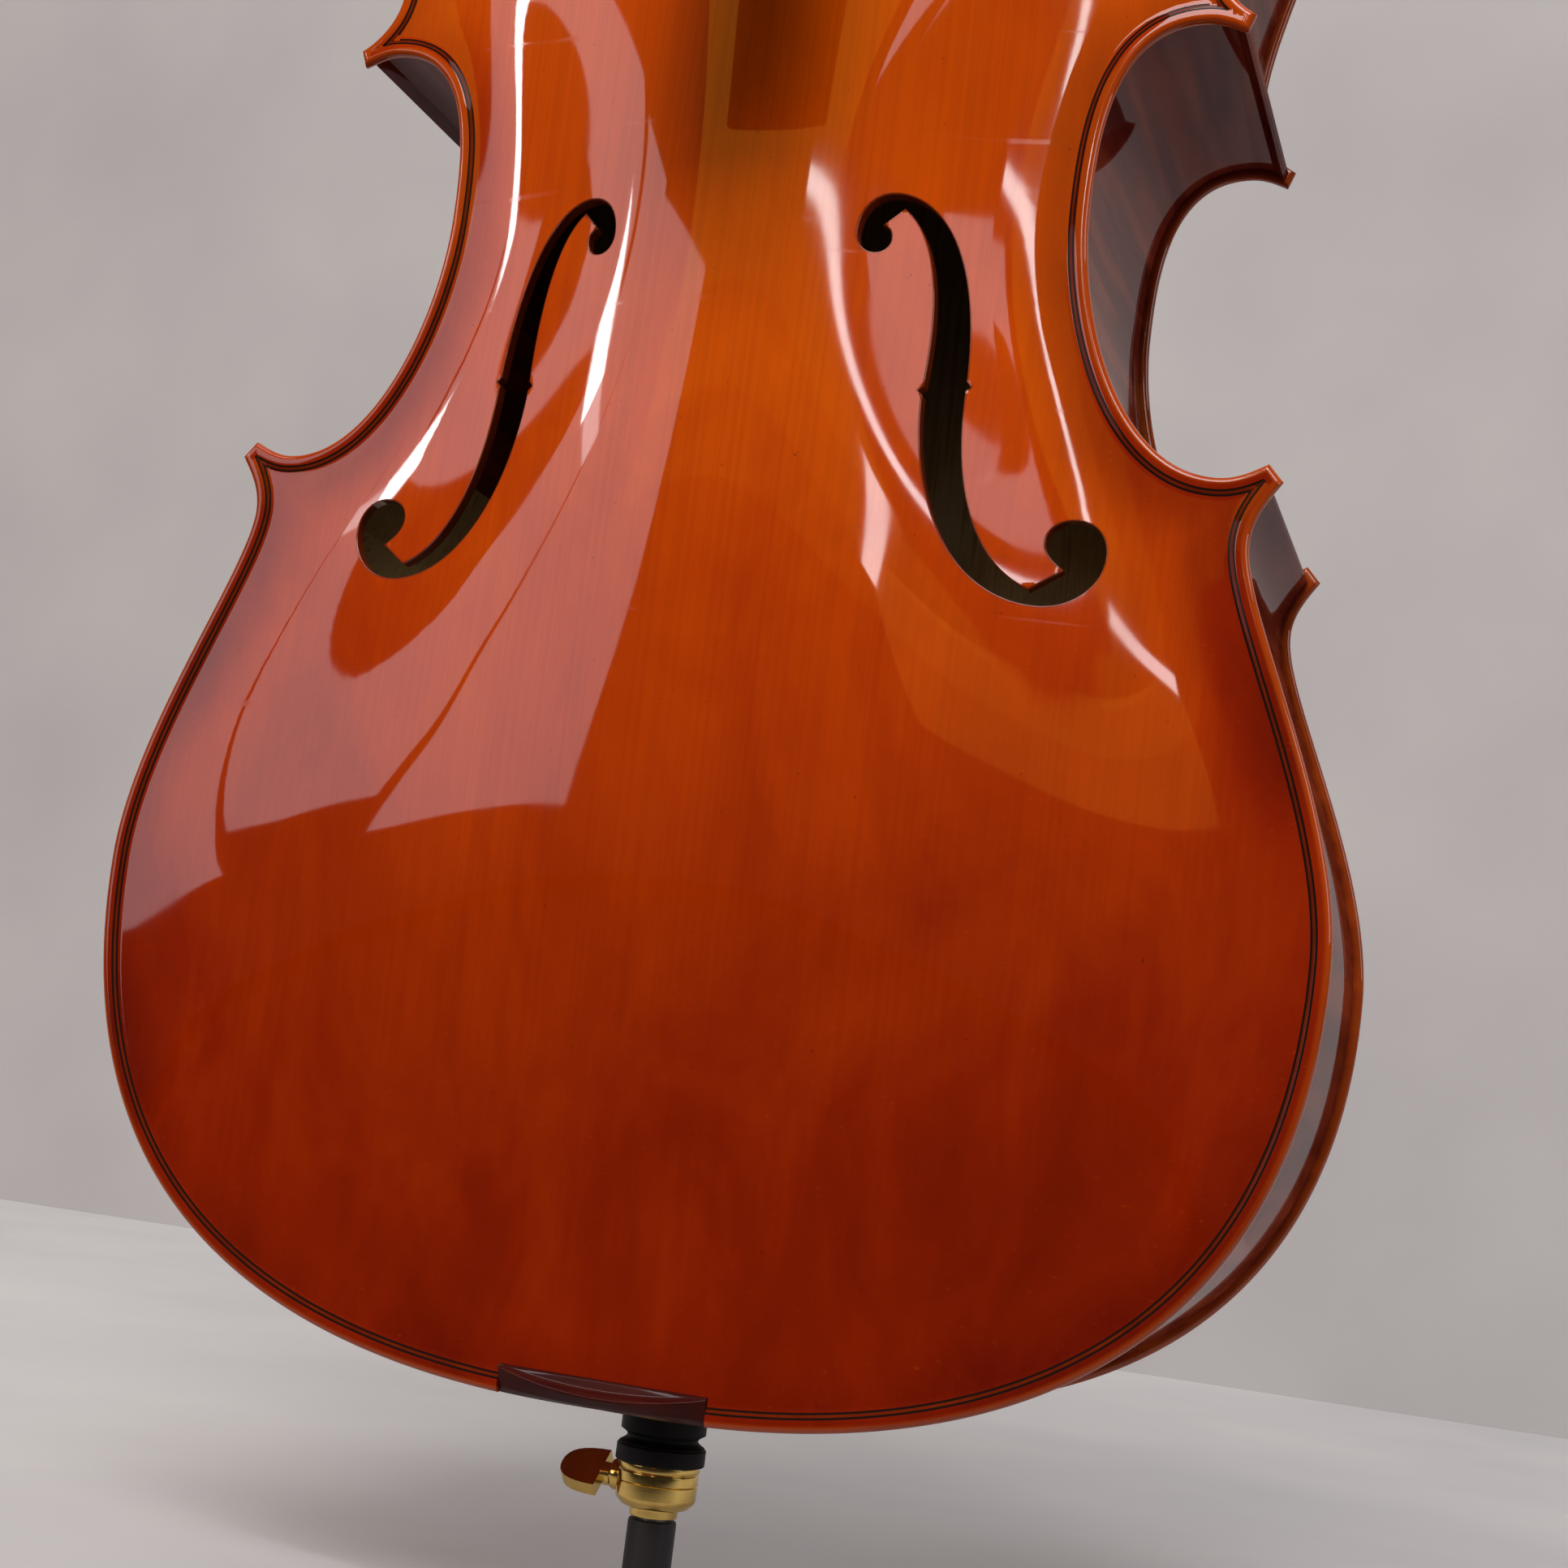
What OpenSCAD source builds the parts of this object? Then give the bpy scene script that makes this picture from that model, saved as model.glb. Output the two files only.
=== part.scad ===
// Full-size cello, unstrung, with a telescoping endpin and four tuning pegs.
// Frame: origin on the floor point of the endpin with the rod pushed home,
// +Z up the body centreline, belly facing -Y, bass side at -X. Millimetres.

/* [Body outline] */
// length of the sound box over the plate edges
body_len = 755; // [740:1:770]
// widest width of the lower bout
lower_bout = 440; // [430:1:450]
// narrowest width of the waist
waist = 239; // [232:1:246]
// widest width of the upper bout
upper_bout = 345; // [338:1:352]
// width over the tips of the two lower corners
lower_corners = 384; // [378:1:390]
// width over the tips of the two upper corners
upper_corners = 338; // [332:1:342]

/* [Plates and arching] */
// height of the ribs between belly and back
rib_height = 119; // [110:1:125]
// thickness of both plates at the rounded edge
edge_thick = 4.5; // [4:0.1:5]
// thickness of both plates in the hollow just inside the edge
channel_thick = 3.6; // [3.2:0.1:3.9]
// thickness of both plates at the middle of the arch
plate_thick = 4.5; // [4:0.1:6]
// rise of the belly arch above its channel
belly_rise = 24; // [20:0.5:27]
// rise of the back arch above its channel
back_rise = 23; // [20:0.5:27]

/* [Ribs, blocks and inside work] */
// how far the plate edges stand out past the ribs
overhang = 3.5; // [3:0.1:4]
// thickness of the bent ribs
rib_thick = 1.5; // [1.3:0.1:1.8]
// thickness of the glued lining strips
lining_thick = 2.2; // [1.8:0.1:3]
// height of the lining strips along the rib edge
lining_height = 12; // [10:1:15]
// width of the bass bar
bar_width = 11; // [9:0.5:12]
// tallest height of the bass bar
bar_height = 24; // [20:1:26]
// diameter of the sound post
post_dia = 11; // [10:0.5:12]

/* [Purfling and saddle] */
// distance from the plate edge to the outside of the purfling
purfling_inset = 4.3; // [4.2:0.1:5]
// width of the purfling band
purfling_width = 2.3; // [1.5:0.1:2.6]
// depth of the groove that holds the purfling
purfling_depth = 1.6; // [1.2:0.1:2]
// length of the saddle along the body edge
saddle_len = 74; // [66:1:78]
// depth of the saddle from the body edge
saddle_deep = 10; // [9:0.5:12]
// rise of the saddle crest above the plate edge
saddle_rise = 5; // [3:0.5:7]

/* [F-holes] */
// distance between the centre lines of the two f-hole stems
f_spacing = 158; // [154:1:164]

/* [Neck and fingerboard] */
// neck length from the body edge to the nut
neck_len = 280; // [275:1:285]
// angle between the neck and the plane of the plates
neck_angle = 10.5; // [9:0.1:11]
// height of the neck surface above the belly edge
overstand = 20; // [18:0.5:23]
// overall length of the fingerboard
board_len = 577; // [565:1:585]
// fingerboard width at the nut
nut_width = 32; // [30:0.5:33]
// fingerboard width at its free end
board_end_width = 62; // [58:0.5:64]
// radius of the fingerboard camber
board_radius = 62; // [60:1:66]
// thickness of the fingerboard along both sides
board_side = 6.5; // [5.5:0.1:7]

/* [Pegbox and pegs] */
// outside width of the pegbox at the nut
pegbox_width = 44; // [42:0.5:46]
// width of the slot between the pegbox cheeks
slot_width = 25; // [22:0.5:26]
// largest diameter of a peg shaft
peg_dia = 13.5; // [12.5:0.1:14]
// radial clearance between a peg and its hole
peg_clear = 0.05; // [0.02:0.01:0.08]

/* [Endpin] */
// diameter of the endpin rod
rod_dia = 10; // [8:0.5:10.5]
// length of the endpin rod
rod_len = 470; // [400:10:490]
// radial clearance between the rod and its sleeve
rod_clear = 0.06; // [0.03:0.01:0.08]
// diameter of the rubber tip
tip_dia = 17; // [15:0.5:18]
// length of the rubber tip
tip_len = 34; // [28:1:36]

/* [Hidden] */
$fn = 48;

half_rib = rib_height / 2;
// height of the lowest point of the plates above the floor point
base_z = 75;
// heights of the outline landmarks above the bottom edge
lower_z = 167;
lower_corner_z = 320;
waist_z = 413;
upper_corner_z = 478;
upper_z = 612;
steps = 12;

// colours
varnish = [0.70, 0.27, 0.03];
maple = [0.38, 0.10, 0.04];
bare_spruce = [0.83, 0.70, 0.47];
bare_maple = [0.78, 0.62, 0.42];
ebony = [0.08, 0.06, 0.06];
plug_black = [0.05, 0.05, 0.05];
brass = [0.85, 0.62, 0.25];
steel = [0.72, 0.73, 0.75];
rubber = [0.04, 0.04, 0.04];

// points of a cubic curve after its first point
function curve(a, b, c, d, n = steps) = [
    for (i = [1:n]) let (t = i / n, s = 1 - t)
        s * s * s * a + 3 * s * s * t * b + 3 * s * t * t * c + t * t * t * d
];

// even cosine blend from a to b while t runs from 0 to 1
function blend(a, b, t) = a + (b - a) * (1 - cos(180 * t)) / 2;

// ---------- outline of the plates, seen from the front ----------

lw = lower_bout / 2;
ww = waist / 2;
uw = upper_bout / 2;
lc = lower_corners / 2;
uc = upper_corners / 2;

function half_outline() = concat(
    [[0, 0]],
    // bottom edge and lower bout up to its widest point
    curve([0, 0], [37, 0], [lw, -9], [lw, lower_z], 2 * steps),
    // lower bout drawing in, then flaring to the corner tip
    curve([lw, lower_z], [lw, lower_z + 48], [lc - 9, lower_corner_z - 44],
        [lc - 9, lower_corner_z - 21]),
    curve([lc - 9, lower_corner_z - 21], [lc - 9, lower_corner_z - 13],
        [lc - 5, lower_corner_z - 7], [lc, lower_corner_z], 6),
    // cut end of the lower corner and hook into the waist
    [[lc - 5, lower_corner_z + 6]],
    curve([lc - 5, lower_corner_z + 6], [lc - 9, lower_corner_z + 4],
        [lc - 14, lower_corner_z + 1], [lc - 20, lower_corner_z + 1], 5),
    curve([lc - 20, lower_corner_z + 1], [lc - 54, lower_corner_z + 1],
        [ww, waist_z - 38], [ww, waist_z]),
    // upper half of the waist and upper corner
    curve([ww, waist_z], [ww, waist_z + 27], [ww + 2, upper_corner_z + 1],
        [uc - 16, upper_corner_z + 1]),
    curve([uc - 16, upper_corner_z + 1], [uc - 11, upper_corner_z + 1],
        [uc - 7, upper_corner_z - 1], [uc - 2.5, upper_corner_z - 3], 5),
    // cut end of the upper corner and its flare into the upper bout
    [[uc, upper_corner_z + 3.5]],
    curve([uc, upper_corner_z + 3.5], [uc - 7, upper_corner_z + 7.5],
        [uc - 14.5, upper_corner_z + 16], [uc - 14.5, upper_corner_z + 27], 6),
    // upper bout and shoulder up to the neck
    curve([uc - 14.5, upper_corner_z + 27], [uc - 14.5, upper_corner_z + 62],
        [uw, upper_z - 42], [uw, upper_z]),
    curve([uw, upper_z], [uw, upper_z + 83], [105, body_len], [0, body_len], 2 * steps)
);

half_edge = half_outline();

module outline() {
    n = len(half_edge);
    polygon(concat(half_edge, [for (i = [n - 2:-1:1]) [-half_edge[i][0], half_edge[i][1]]]));
}

module inset(amount) {
    offset(delta = -amount) outline();
}

// stands a flat shape up in the body, from depth y0 towards the belly side
module upright(y0, depth) {
    translate([0, y0, base_z]) rotate([90, 0, 0]) linear_extrude(depth) children();
}

// ---------- arching ----------

end_in = 10;
channel_in = 12;

// half width of the arched part at height z, ending in the channel
function arch_half(z) =
    let (l = lw - channel_in, w = ww - channel_in, u = uw - channel_in)
    z <= lower_z ? max(20, l * pow(max(0, 1 - pow((lower_z - z) / (lower_z - end_in), 2.4)), 0.45))
    : z <= waist_z ? blend(l, w, (z - lower_z) / (waist_z - lower_z))
    : z <= upper_z ? blend(w, u, (z - waist_z) / (upper_z - waist_z))
    : max(20, u * pow(max(0, 1 - pow((z - upper_z) / (body_len - end_in - upper_z), 2.4)), 0.45));

// share of the full rise left at height z along the centreline
function long_arch(z) =
    let (mid = body_len / 2, t = min(1, abs(z - mid) / (mid - end_in)))
    pow(1 - pow(t, 2.6), 1.2);

// share of the full rise left at fraction u of the half width
function cross_arch(u) = pow(max(0, 1 - pow(u, 2.2)), 2);

inner_in = 6;
function outer_height(x, z, rise) =
    channel_thick + rise * long_arch(z) * cross_arch(min(1, abs(x) / arch_half(z)));
function inner_height(x, z, rise) =
    (rise + channel_thick - plate_thick) * long_arch(z)
    * cross_arch(min(1, abs(x) / (arch_half(z) - inner_in)));

// rows up the body and fractions across the arch at which the arching is laid out
row_z = concat([-10, end_in, 16, 24, 36], [for (i = [0:20]) 52 + i * (body_len - 104) / 20],
    [body_len - 36, body_len - 24, body_len - 16, body_len - end_in, body_len + 25]);
fractions = [0.12, 0.25, 0.38, 0.5, 0.62, 0.73, 0.83, 0.92, 1];
reach = 250;
nf = len(fractions);
row_x = concat([-1.5], [for (i = [nf - 1:-1:0]) -fractions[i]], [0], fractions, [1.5]);
nc = len(row_x);
nr = len(row_z);

function grid_x(j, z) = abs(row_x[j]) > 1 ? sign(row_x[j]) * reach : row_x[j] * arch_half(z);

// arched skin over the whole grid, belly side towards -Y, rib plane at y = 0
module arched_skin(rise) {
    outer = [for (z = row_z) for (j = [0:nc - 1])
        [grid_x(j, z), -outer_height(grid_x(j, z), z, rise), z]];
    inner = [for (z = row_z) for (j = [0:nc - 1])
        [grid_x(j, z), -inner_height(grid_x(j, z), z, rise), z]];
    base = nr * nc;
    skin = [for (i = [0:nr - 2]) for (j = [0:nc - 2]) let (a = i * nc + j, c = a + nc)
        each [[a, c, a + 1], [a + 1, c, c + 1],
              [base + a, base + a + 1, base + c], [base + a + 1, base + c + 1, base + c]]];
    ends = [for (j = [0:nc - 2]) let (t = (nr - 1) * nc + j)
        each [[j, j + 1, base + j], [j + 1, base + j + 1, base + j],
              [t, base + t, t + 1], [t + 1, base + t, base + t + 1]]];
    sides = [for (i = [0:nr - 2]) let (a = i * nc, b = a + nc - 1)
        each [[a, base + a, a + nc], [a + nc, base + a, base + a + nc],
              [b, b + nc, base + b], [b + nc, base + b + nc, base + b]]];
    polyhedron(concat(outer, inner), concat(skin, ends, sides));
}

edge_band = 3.6;

// one plate before its cut-outs, outside towards -Y, rib plane at y = 0
module blank(rise) {
    intersection() {
        arched_skin(rise);
        rotate([90, 0, 0]) translate([0, 0, -1]) linear_extrude(60) children();
    }
    rotate([90, 0, 0]) linear_extrude(edge_thick) difference() {
        children();
        offset(delta = -edge_band) children();
    }
}

module purfling_band() {
    difference() {
        inset(purfling_inset);
        inset(purfling_inset + purfling_width);
    }
}

module purfling_ring() {
    translate([0, purfling_depth - channel_thick, 0]) rotate([90, 0, 0])
        linear_extrude(purfling_depth) purfling_band();
}

module saddle_seat() {
    translate([-saddle_len / 2, -5]) square([saddle_len, saddle_deep + 5]);
}

// ---------- f-holes ----------

fx = f_spacing / 2 - 78;

// outline of the treble-side f-hole, drawn clockwise from its upper eye
function f_outline() = [for (p = concat(
    curve([43.7, 399], [43.7, 407], [48.5, 413.6], [56, 413.6], 6),
    curve([56, 413.6], [72, 413.6], [85, 392], [85, 345]),
    curve([85, 345], [85, 312], [94.5, 286.5], [113.4, 279.4]),
    [[123.8, 287]],
    curve([123.8, 287], [119.5, 290], [116.8, 293], [116.8, 296], 4),
    curve([116.8, 296], [116.8, 301], [121, 304.3], [126.6, 304.3], 6),
    curve([126.6, 304.3], [132.5, 304.3], [136.8, 299.5], [136.8, 293], 6),
    curve([136.8, 293], [136.8, 283], [128, 274.2], [116.5, 274.2], 6),
    curve([116.5, 274.2], [88, 274.2], [71.5, 307], [71.5, 345]),
    curve([71.5, 345], [73.5, 375], [70, 401], [58.1, 408.7]),
    [[51.7, 402]],
    curve([51.7, 402], [54, 401.5], [55, 400], [55, 397.7], 4),
    curve([55, 397.7], [55, 394.5], [52.6, 392.1], [49.4, 392.1], 5),
    curve([49.4, 392.1], [46, 392.1], [43.7, 395], [43.7, 399], 5)
)) [p[0] + fx, p[1]]];

module f_hole() {
    polygon(f_outline());
    // nicks that mark the bridge line
    for (nick = [[71.6, 344.8], [84.9, 348]])
        translate([nick[0] + fx, nick[1]]) rotate(45) square(2.4, center = true);
}

module both_f_holes() {
    f_hole();
    mirror([1, 0]) f_hole();
}

// ---------- neck root, shared by the neck and its mortise ----------

root_deep = 14;
root_front = half_rib + edge_thick + overstand;
root_back_width = 30;
root_front_width = nut_width + (board_end_width - nut_width) * neck_len / board_len;

module root_plan() {
    polygon([
        [-root_front_width / 2, -root_front],
        [root_front_width / 2, -root_front],
        [root_back_width / 2, half_rib],
        [-root_back_width / 2, half_rib]
    ]);
}

module root_tenon(extra) {
    translate([0, 0, base_z + body_len - root_deep])
        linear_extrude(root_deep + extra) root_plan();
}

module top_plate() {
    color(varnish) difference() {
        translate([0, -half_rib, base_z]) difference() {
            blank(belly_rise) outline();
            purfling_ring();
            rotate([90, 0, 0]) translate([0, 0, -1]) linear_extrude(60) both_f_holes();
            rotate([90, 0, 0]) translate([0, 0, -1]) linear_extrude(60) saddle_seat();
        }
        root_tenon(5);
    }
}

module back_outline() {
    outline();
    // button that carries the heel of the neck
    translate([0, body_len]) circle(d = root_back_width);
}

module back_plate() {
    color(varnish) mirror([0, 1, 0]) translate([0, -half_rib, base_z]) difference() {
        blank(back_rise) back_outline();
        purfling_ring();
    }
}

module purfling_belly() {
    color(ebony) difference() {
        translate([0, -half_rib, base_z]) difference() {
            purfling_ring();
            rotate([90, 0, 0]) linear_extrude(60) saddle_seat();
        }
        root_tenon(5);
    }
}

module purfling_back() {
    color(ebony) mirror([0, 1, 0]) translate([0, -half_rib, base_z]) purfling_ring();
}

// ---------- ribs ----------

// regions that split the rib line at the corners, right half of the body
lower_cut = [[lc - 42, lower_corner_z - 36], [lc - 2, lower_corner_z + 4]];
upper_cut = [[uc - 41.5, upper_corner_z + 32], [uc - 1.5, upper_corner_z]];

module lower_region() {
    polygon([[0, -30], [reach, -30], [reach, lower_cut[1][1]], lower_cut[1], lower_cut[0],
        [0, lower_cut[0][1]]]);
}

module center_region() {
    polygon([[0, lower_cut[0][1]], lower_cut[0], lower_cut[1], [reach, lower_cut[1][1]],
        [reach, upper_cut[1][1]], upper_cut[1], upper_cut[0], [0, upper_cut[0][1]]]);
}

module upper_region() {
    polygon([[0, upper_cut[0][1]], upper_cut[0], upper_cut[1], [reach, upper_cut[1][1]],
        [reach, body_len + 30], [0, body_len + 30]]);
}

module rib_band() {
    difference() {
        inset(overhang);
        inset(overhang + rib_thick);
    }
}

module rib(side) {
    color(maple) upright(half_rib, rib_height) mirror([side < 0 ? 1 : 0, 0]) intersection() {
        rib_band();
        children();
    }
}

plug_bore = 25;

module plug_hole() {
    translate([0, 0, base_z - 20]) cylinder(d = plug_bore, h = 70);
}

module lower_rib(side) {
    color(maple) difference() {
        rib(side) lower_region();
        plug_hole();
    }
}

module upper_rib(side) {
    color(maple) difference() {
        rib(side) upper_region();
        root_tenon(5);
    }
}

module rib_lower_left() { lower_rib(-1); }
module rib_lower_right() { lower_rib(1); }
module rib_center_left() { rib(-1) center_region(); }
module rib_center_right() { rib(1) center_region(); }
module rib_upper_left() { upper_rib(-1); }
module rib_upper_right() { upper_rib(1); }

// ---------- blocks and linings ----------

module inside() {
    inset(overhang + rib_thick);
}

module lower_block_zone() {
    polygon([[lc + 8, lower_corner_z - 58], [lc - 21, lower_corner_z - 48],
        [lc - 42, lower_corner_z - 20], [lc - 54, lower_corner_z + 15],
        [lc + 8, lower_corner_z + 20]]);
}

module upper_block_zone() {
    polygon([[uc + 16, upper_corner_z + 52], [uc - 23, upper_corner_z + 42],
        [uc - 36, upper_corner_z + 22], [uc - 37, upper_corner_z - 13],
        [uc + 16, upper_corner_z - 18]]);
}

end_block_size = [90, 28];
neck_block_size = [92, 45];

module end_zone() {
    translate([-end_block_size[0] / 2, 0]) square(end_block_size);
}

module neck_zone() {
    translate([-neck_block_size[0] / 2, body_len - neck_block_size[1]]) square(neck_block_size);
}

module block(side) {
    color(bare_spruce) upright(half_rib, rib_height)
        mirror([side < 0 ? 1 : 0, 0]) intersection() {
            inside();
            children();
        }
}

module block_lower_left() { block(-1) lower_block_zone(); }
module block_lower_right() { block(1) lower_block_zone(); }
module block_upper_left() { block(-1) upper_block_zone(); }
module block_upper_right() { block(1) upper_block_zone(); }

module end_block() {
    color(bare_spruce) difference() {
        block(1) end_zone();
        plug_hole();
    }
}

module neck_block() {
    color(bare_spruce) difference() {
        block(1) neck_zone();
        root_tenon(5);
    }
}

module lining(side, y0) {
    color(bare_spruce) upright(y0, lining_height) mirror([side < 0 ? 1 : 0, 0]) intersection() {
        difference() {
            inside();
            inset(overhang + rib_thick + lining_thick);
            lower_block_zone();
            upper_block_zone();
            end_zone();
            neck_zone();
        }
        children();
    }
}

belly_lining_y = lining_height - half_rib;

module lining_belly_lower_left() { lining(-1, belly_lining_y) lower_region(); }
module lining_belly_lower_right() { lining(1, belly_lining_y) lower_region(); }
module lining_belly_center_left() { lining(-1, belly_lining_y) center_region(); }
module lining_belly_center_right() { lining(1, belly_lining_y) center_region(); }
module lining_belly_upper_left() { lining(-1, belly_lining_y) upper_region(); }
module lining_belly_upper_right() { lining(1, belly_lining_y) upper_region(); }
module lining_back_lower_left() { lining(-1, half_rib) lower_region(); }
module lining_back_lower_right() { lining(1, half_rib) lower_region(); }
module lining_back_center_left() { lining(-1, half_rib) center_region(); }
module lining_back_center_right() { lining(1, half_rib) center_region(); }
module lining_back_upper_left() { lining(-1, half_rib) upper_region(); }
module lining_back_upper_right() { lining(1, half_rib) upper_region(); }

// ---------- bass bar and sound post ----------

bar_x = 38;
bar_bottom = 95;
bar_top = 665;
glue_gap = 0.25;

// height of the bar's free edge below the belly, tallest near the bridge
function bar_drop(z) =
    6 + (bar_height - 6) * pow(sin(180 * (z - bar_bottom) / (bar_top - bar_bottom)), 1.2);

module bass_bar() {
    n = 38;
    zs = [for (i = [0:n]) bar_bottom + i * (bar_top - bar_bottom) / n];
    far = bar_x + bar_width / 2;
    color(bare_spruce) translate([-far, -half_rib, base_z]) rotate([90, 0, 90])
        linear_extrude(bar_width) polygon(concat(
            [for (z = zs) [glue_gap - inner_height(far, z, belly_rise), z]],
            [for (i = [n:-1:0]) let (z = zs[i])
                [bar_drop(z) - inner_height(far, z, belly_rise), z]]));
}

post_x = 36;
post_z = 328;

module sound_post() {
    r = post_dia / 2;
    front = half_rib + inner_height(post_x + r, post_z, belly_rise) - glue_gap;
    back = half_rib + inner_height(post_x + r, post_z, back_rise) - glue_gap;
    color(bare_spruce) translate([post_x, back, base_z + post_z]) rotate([90, 0, 0])
        cylinder(d = post_dia, h = front + back);
}

// ---------- saddle ----------

module saddle() {
    crest = edge_thick + saddle_rise;
    half = saddle_len / 2;
    crest_radius = (half * half + saddle_rise * saddle_rise) / (2 * saddle_rise);
    color(ebony) translate([0, -half_rib, base_z]) intersection() {
        rotate([90, 0, 0]) linear_extrude(crest) intersection() {
            outline();
            saddle_seat();
        }
        // crest bowed across the body
        translate([0, crest_radius - crest, -5])
            cylinder(r = crest_radius, h = saddle_deep + 10, $fn = 180);
        // rounded back and sloped front of the ridge
        rotate([90, 0, 90]) translate([0, 0, -half]) linear_extrude(saddle_len) polygon(concat(
            [[0, 0], [-edge_thick, 0]],
            curve([-edge_thick, 0], [-crest + 1.5, 0.5], [-crest, 2], [-crest, 4.5], 6),
            [[-edge_thick + 0.4, saddle_deep], [0, saddle_deep]]));
    }
}

// ---------- neck frame ----------

// own frame of the neck: glue surface of the fingerboard at y = 0, nut end at +Z
module neck_frame() {
    translate([0, -root_front, base_z + body_len]) rotate([-neck_angle, 0, 0]) children();
}

module fingerboard() {
    crown_nut = board_radius - sqrt(pow(board_radius, 2) - pow(nut_width / 2, 2));
    crown_end = board_radius - sqrt(pow(board_radius, 2) - pow(board_end_width / 2, 2));
    fall = atan((crown_end - crown_nut) / board_len);
    free_len = board_len - neck_len;
    color(ebony) neck_frame() difference() {
        intersection() {
            rotate([90, 0, 0]) linear_extrude(30) polygon([
                [-nut_width / 2, neck_len], [nut_width / 2, neck_len],
                [board_end_width / 2, -free_len], [-board_end_width / 2, -free_len]]);
            translate([0, board_radius - board_side - crown_nut, neck_len]) rotate([180 - fall, 0, 0])
                translate([0, 0, -20]) cylinder(r = board_radius, h = board_len + 60, $fn = 180);
        }
        // hollow under the free part
        translate([0, 38, -free_len - 10]) cylinder(r = 42, h = free_len - 8, $fn = 120);
    }
}

// ---------- neck, pegbox and scroll ----------

heel_rise = 90;
neck_back_body = 30;
head_z = neck_len + 8;
// centre of the scroll eye in the neck frame, depth then height
eye = [25, head_z + 196];
scroll_r = 36;

// spiral radius after a turn angle in degrees
function spiral(a) = scroll_r * pow(0.56, a / 360);

// filled spiral starting at the back of the head, turning over the top
module volute(start, sweep) {
    polygon([for (i = [0:36]) let (a = start + sweep * i / 36)
        eye + spiral(a) * [cos(a), sin(a)]]);
}

module head_profile() {
    polygon(concat(
        [[0, neck_len - 16], [0, head_z]],
        curve([0, head_z], [8, head_z + 60], [22, head_z + 110], [14, head_z + 158], 10),
        [eye, [eye[0] + scroll_r, eye[1]]],
        curve([eye[0] + scroll_r, eye[1]], [eye[0] + scroll_r + 1, eye[1] - 48],
            [54, head_z + 60], [44, head_z + 8], 14),
        curve([44, head_z + 8], [42, head_z - 4], [33, head_z - 10], [20, head_z - 28], 8)));
}

module side_layer(width) {
    translate([-width / 2, 0, 0]) rotate([90, 0, 90]) linear_extrude(width) children();
}

// taper of the cheeks seen from the front, from nut to scroll
module head_front_view() {
    w0 = pegbox_width / 2;
    polygon(concat(
        [[nut_width / 2, neck_len - 30], [nut_width / 2, neck_len - 10]],
        curve([nut_width / 2, neck_len - 10], [nut_width / 2 + 1, neck_len + 4],
            [w0, head_z + 2], [w0, head_z + 16], 6),
        [[w0 - 8, head_z + 150], [13, head_z + 180], [13, head_z + 260],
         [-13, head_z + 260], [-13, head_z + 180], [8 - w0, head_z + 150]],
        [for (p = curve([w0, head_z + 16], [w0, head_z + 2], [nut_width / 2 + 1, neck_len + 4],
            [nut_width / 2, neck_len - 10], 6)) [-p[0], p[1]]],
        [[-nut_width / 2, neck_len - 30]]));
}

module peg_slot() {
    s0 = slot_width / 2;
    s1 = s0 - 4.5;
    intersection() {
        translate([0, 80, 0]) rotate([90, 0, 0]) linear_extrude(120) polygon([
            [-s0, head_z + 6], [s0, head_z + 6], [s1, head_z + 145], [-s1, head_z + 145]]);
        side_layer(slot_width) polygon(concat(
            [[-20, head_z + 6], [28, head_z + 6]],
            curve([28, head_z + 6], [42, head_z + 40], [46, head_z + 90], [38, head_z + 145], 10),
            [[-20, head_z + 145]]));
    }
}

// pegs: height above the head start, depth, side of the grip
peg_plan = [[30, 24, -1], [56, 26, 1], [88, 28, -1], [116, 28, 1]];
peg_taper = 0.018;
peg_stand = 5;

// half width over the cheeks at peg k
function cheek(k) = pegbox_width / 2 - 8 * (peg_plan[k][0] - 16) / 134;

// tapered shaft of peg k with its radius grown by extra and its small end moved out
module peg_cone(k, extra, out) {
    r0 = peg_dia / 2 + extra;
    long = 2 * cheek(k) + peg_stand + 0.8 + out;
    translate([peg_plan[k][2] * (cheek(k) + peg_stand), peg_plan[k][1], head_z + peg_plan[k][0]])
        rotate([0, -90 * peg_plan[k][2], 0])
            cylinder(r1 = r0, r2 = r0 - peg_taper * long, h = long);
}

module neck_and_scroll() {
    back = base_z + body_len;
    back_y = tan(neck_angle) * heel_rise - root_front + neck_back_body - 2.5;
    color(varnish) {
        // heel with its tenon, from the button to the underside of the neck
        intersection() {
            root_tenon(heel_rise + 20);
            translate([-30, 0, 0]) rotate([90, 0, 90]) linear_extrude(60) polygon(concat(
                [[-root_front, back - root_deep], [half_rib, back - root_deep],
                 [half_rib, back + 12]],
                curve([half_rib, back + 12], [5, back + 16], [back_y - 7, back + 40],
                    [back_y, back + heel_rise], 14),
                [[tan(neck_angle) * heel_rise - root_front, back + heel_rise],
                 [-root_front, back]]));
        }
        neck_frame() {
            // half-round shaft under the fingerboard
            intersection() {
                scale([1, 1.3, 1]) cylinder(d1 = root_front_width, d2 = nut_width, h = neck_len);
                translate([-40, 0, 6]) cube([80, 60, neck_len - 6]);
            }
            difference() {
                intersection() {
                    side_layer(pegbox_width) head_profile();
                    translate([0, 100, 0]) rotate([90, 0, 0]) linear_extrude(140)
                        head_front_view();
                }
                peg_slot();
                for (k = [0:3]) peg_cone(k, peg_clear, 4);
            }
            side_layer(26) volute(0, 360);
            side_layer(38) volute(300, 360);
            side_layer(50) volute(600, 360);
            side_layer(60) translate(eye) circle(r = 7);
        }
    }
}

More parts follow.
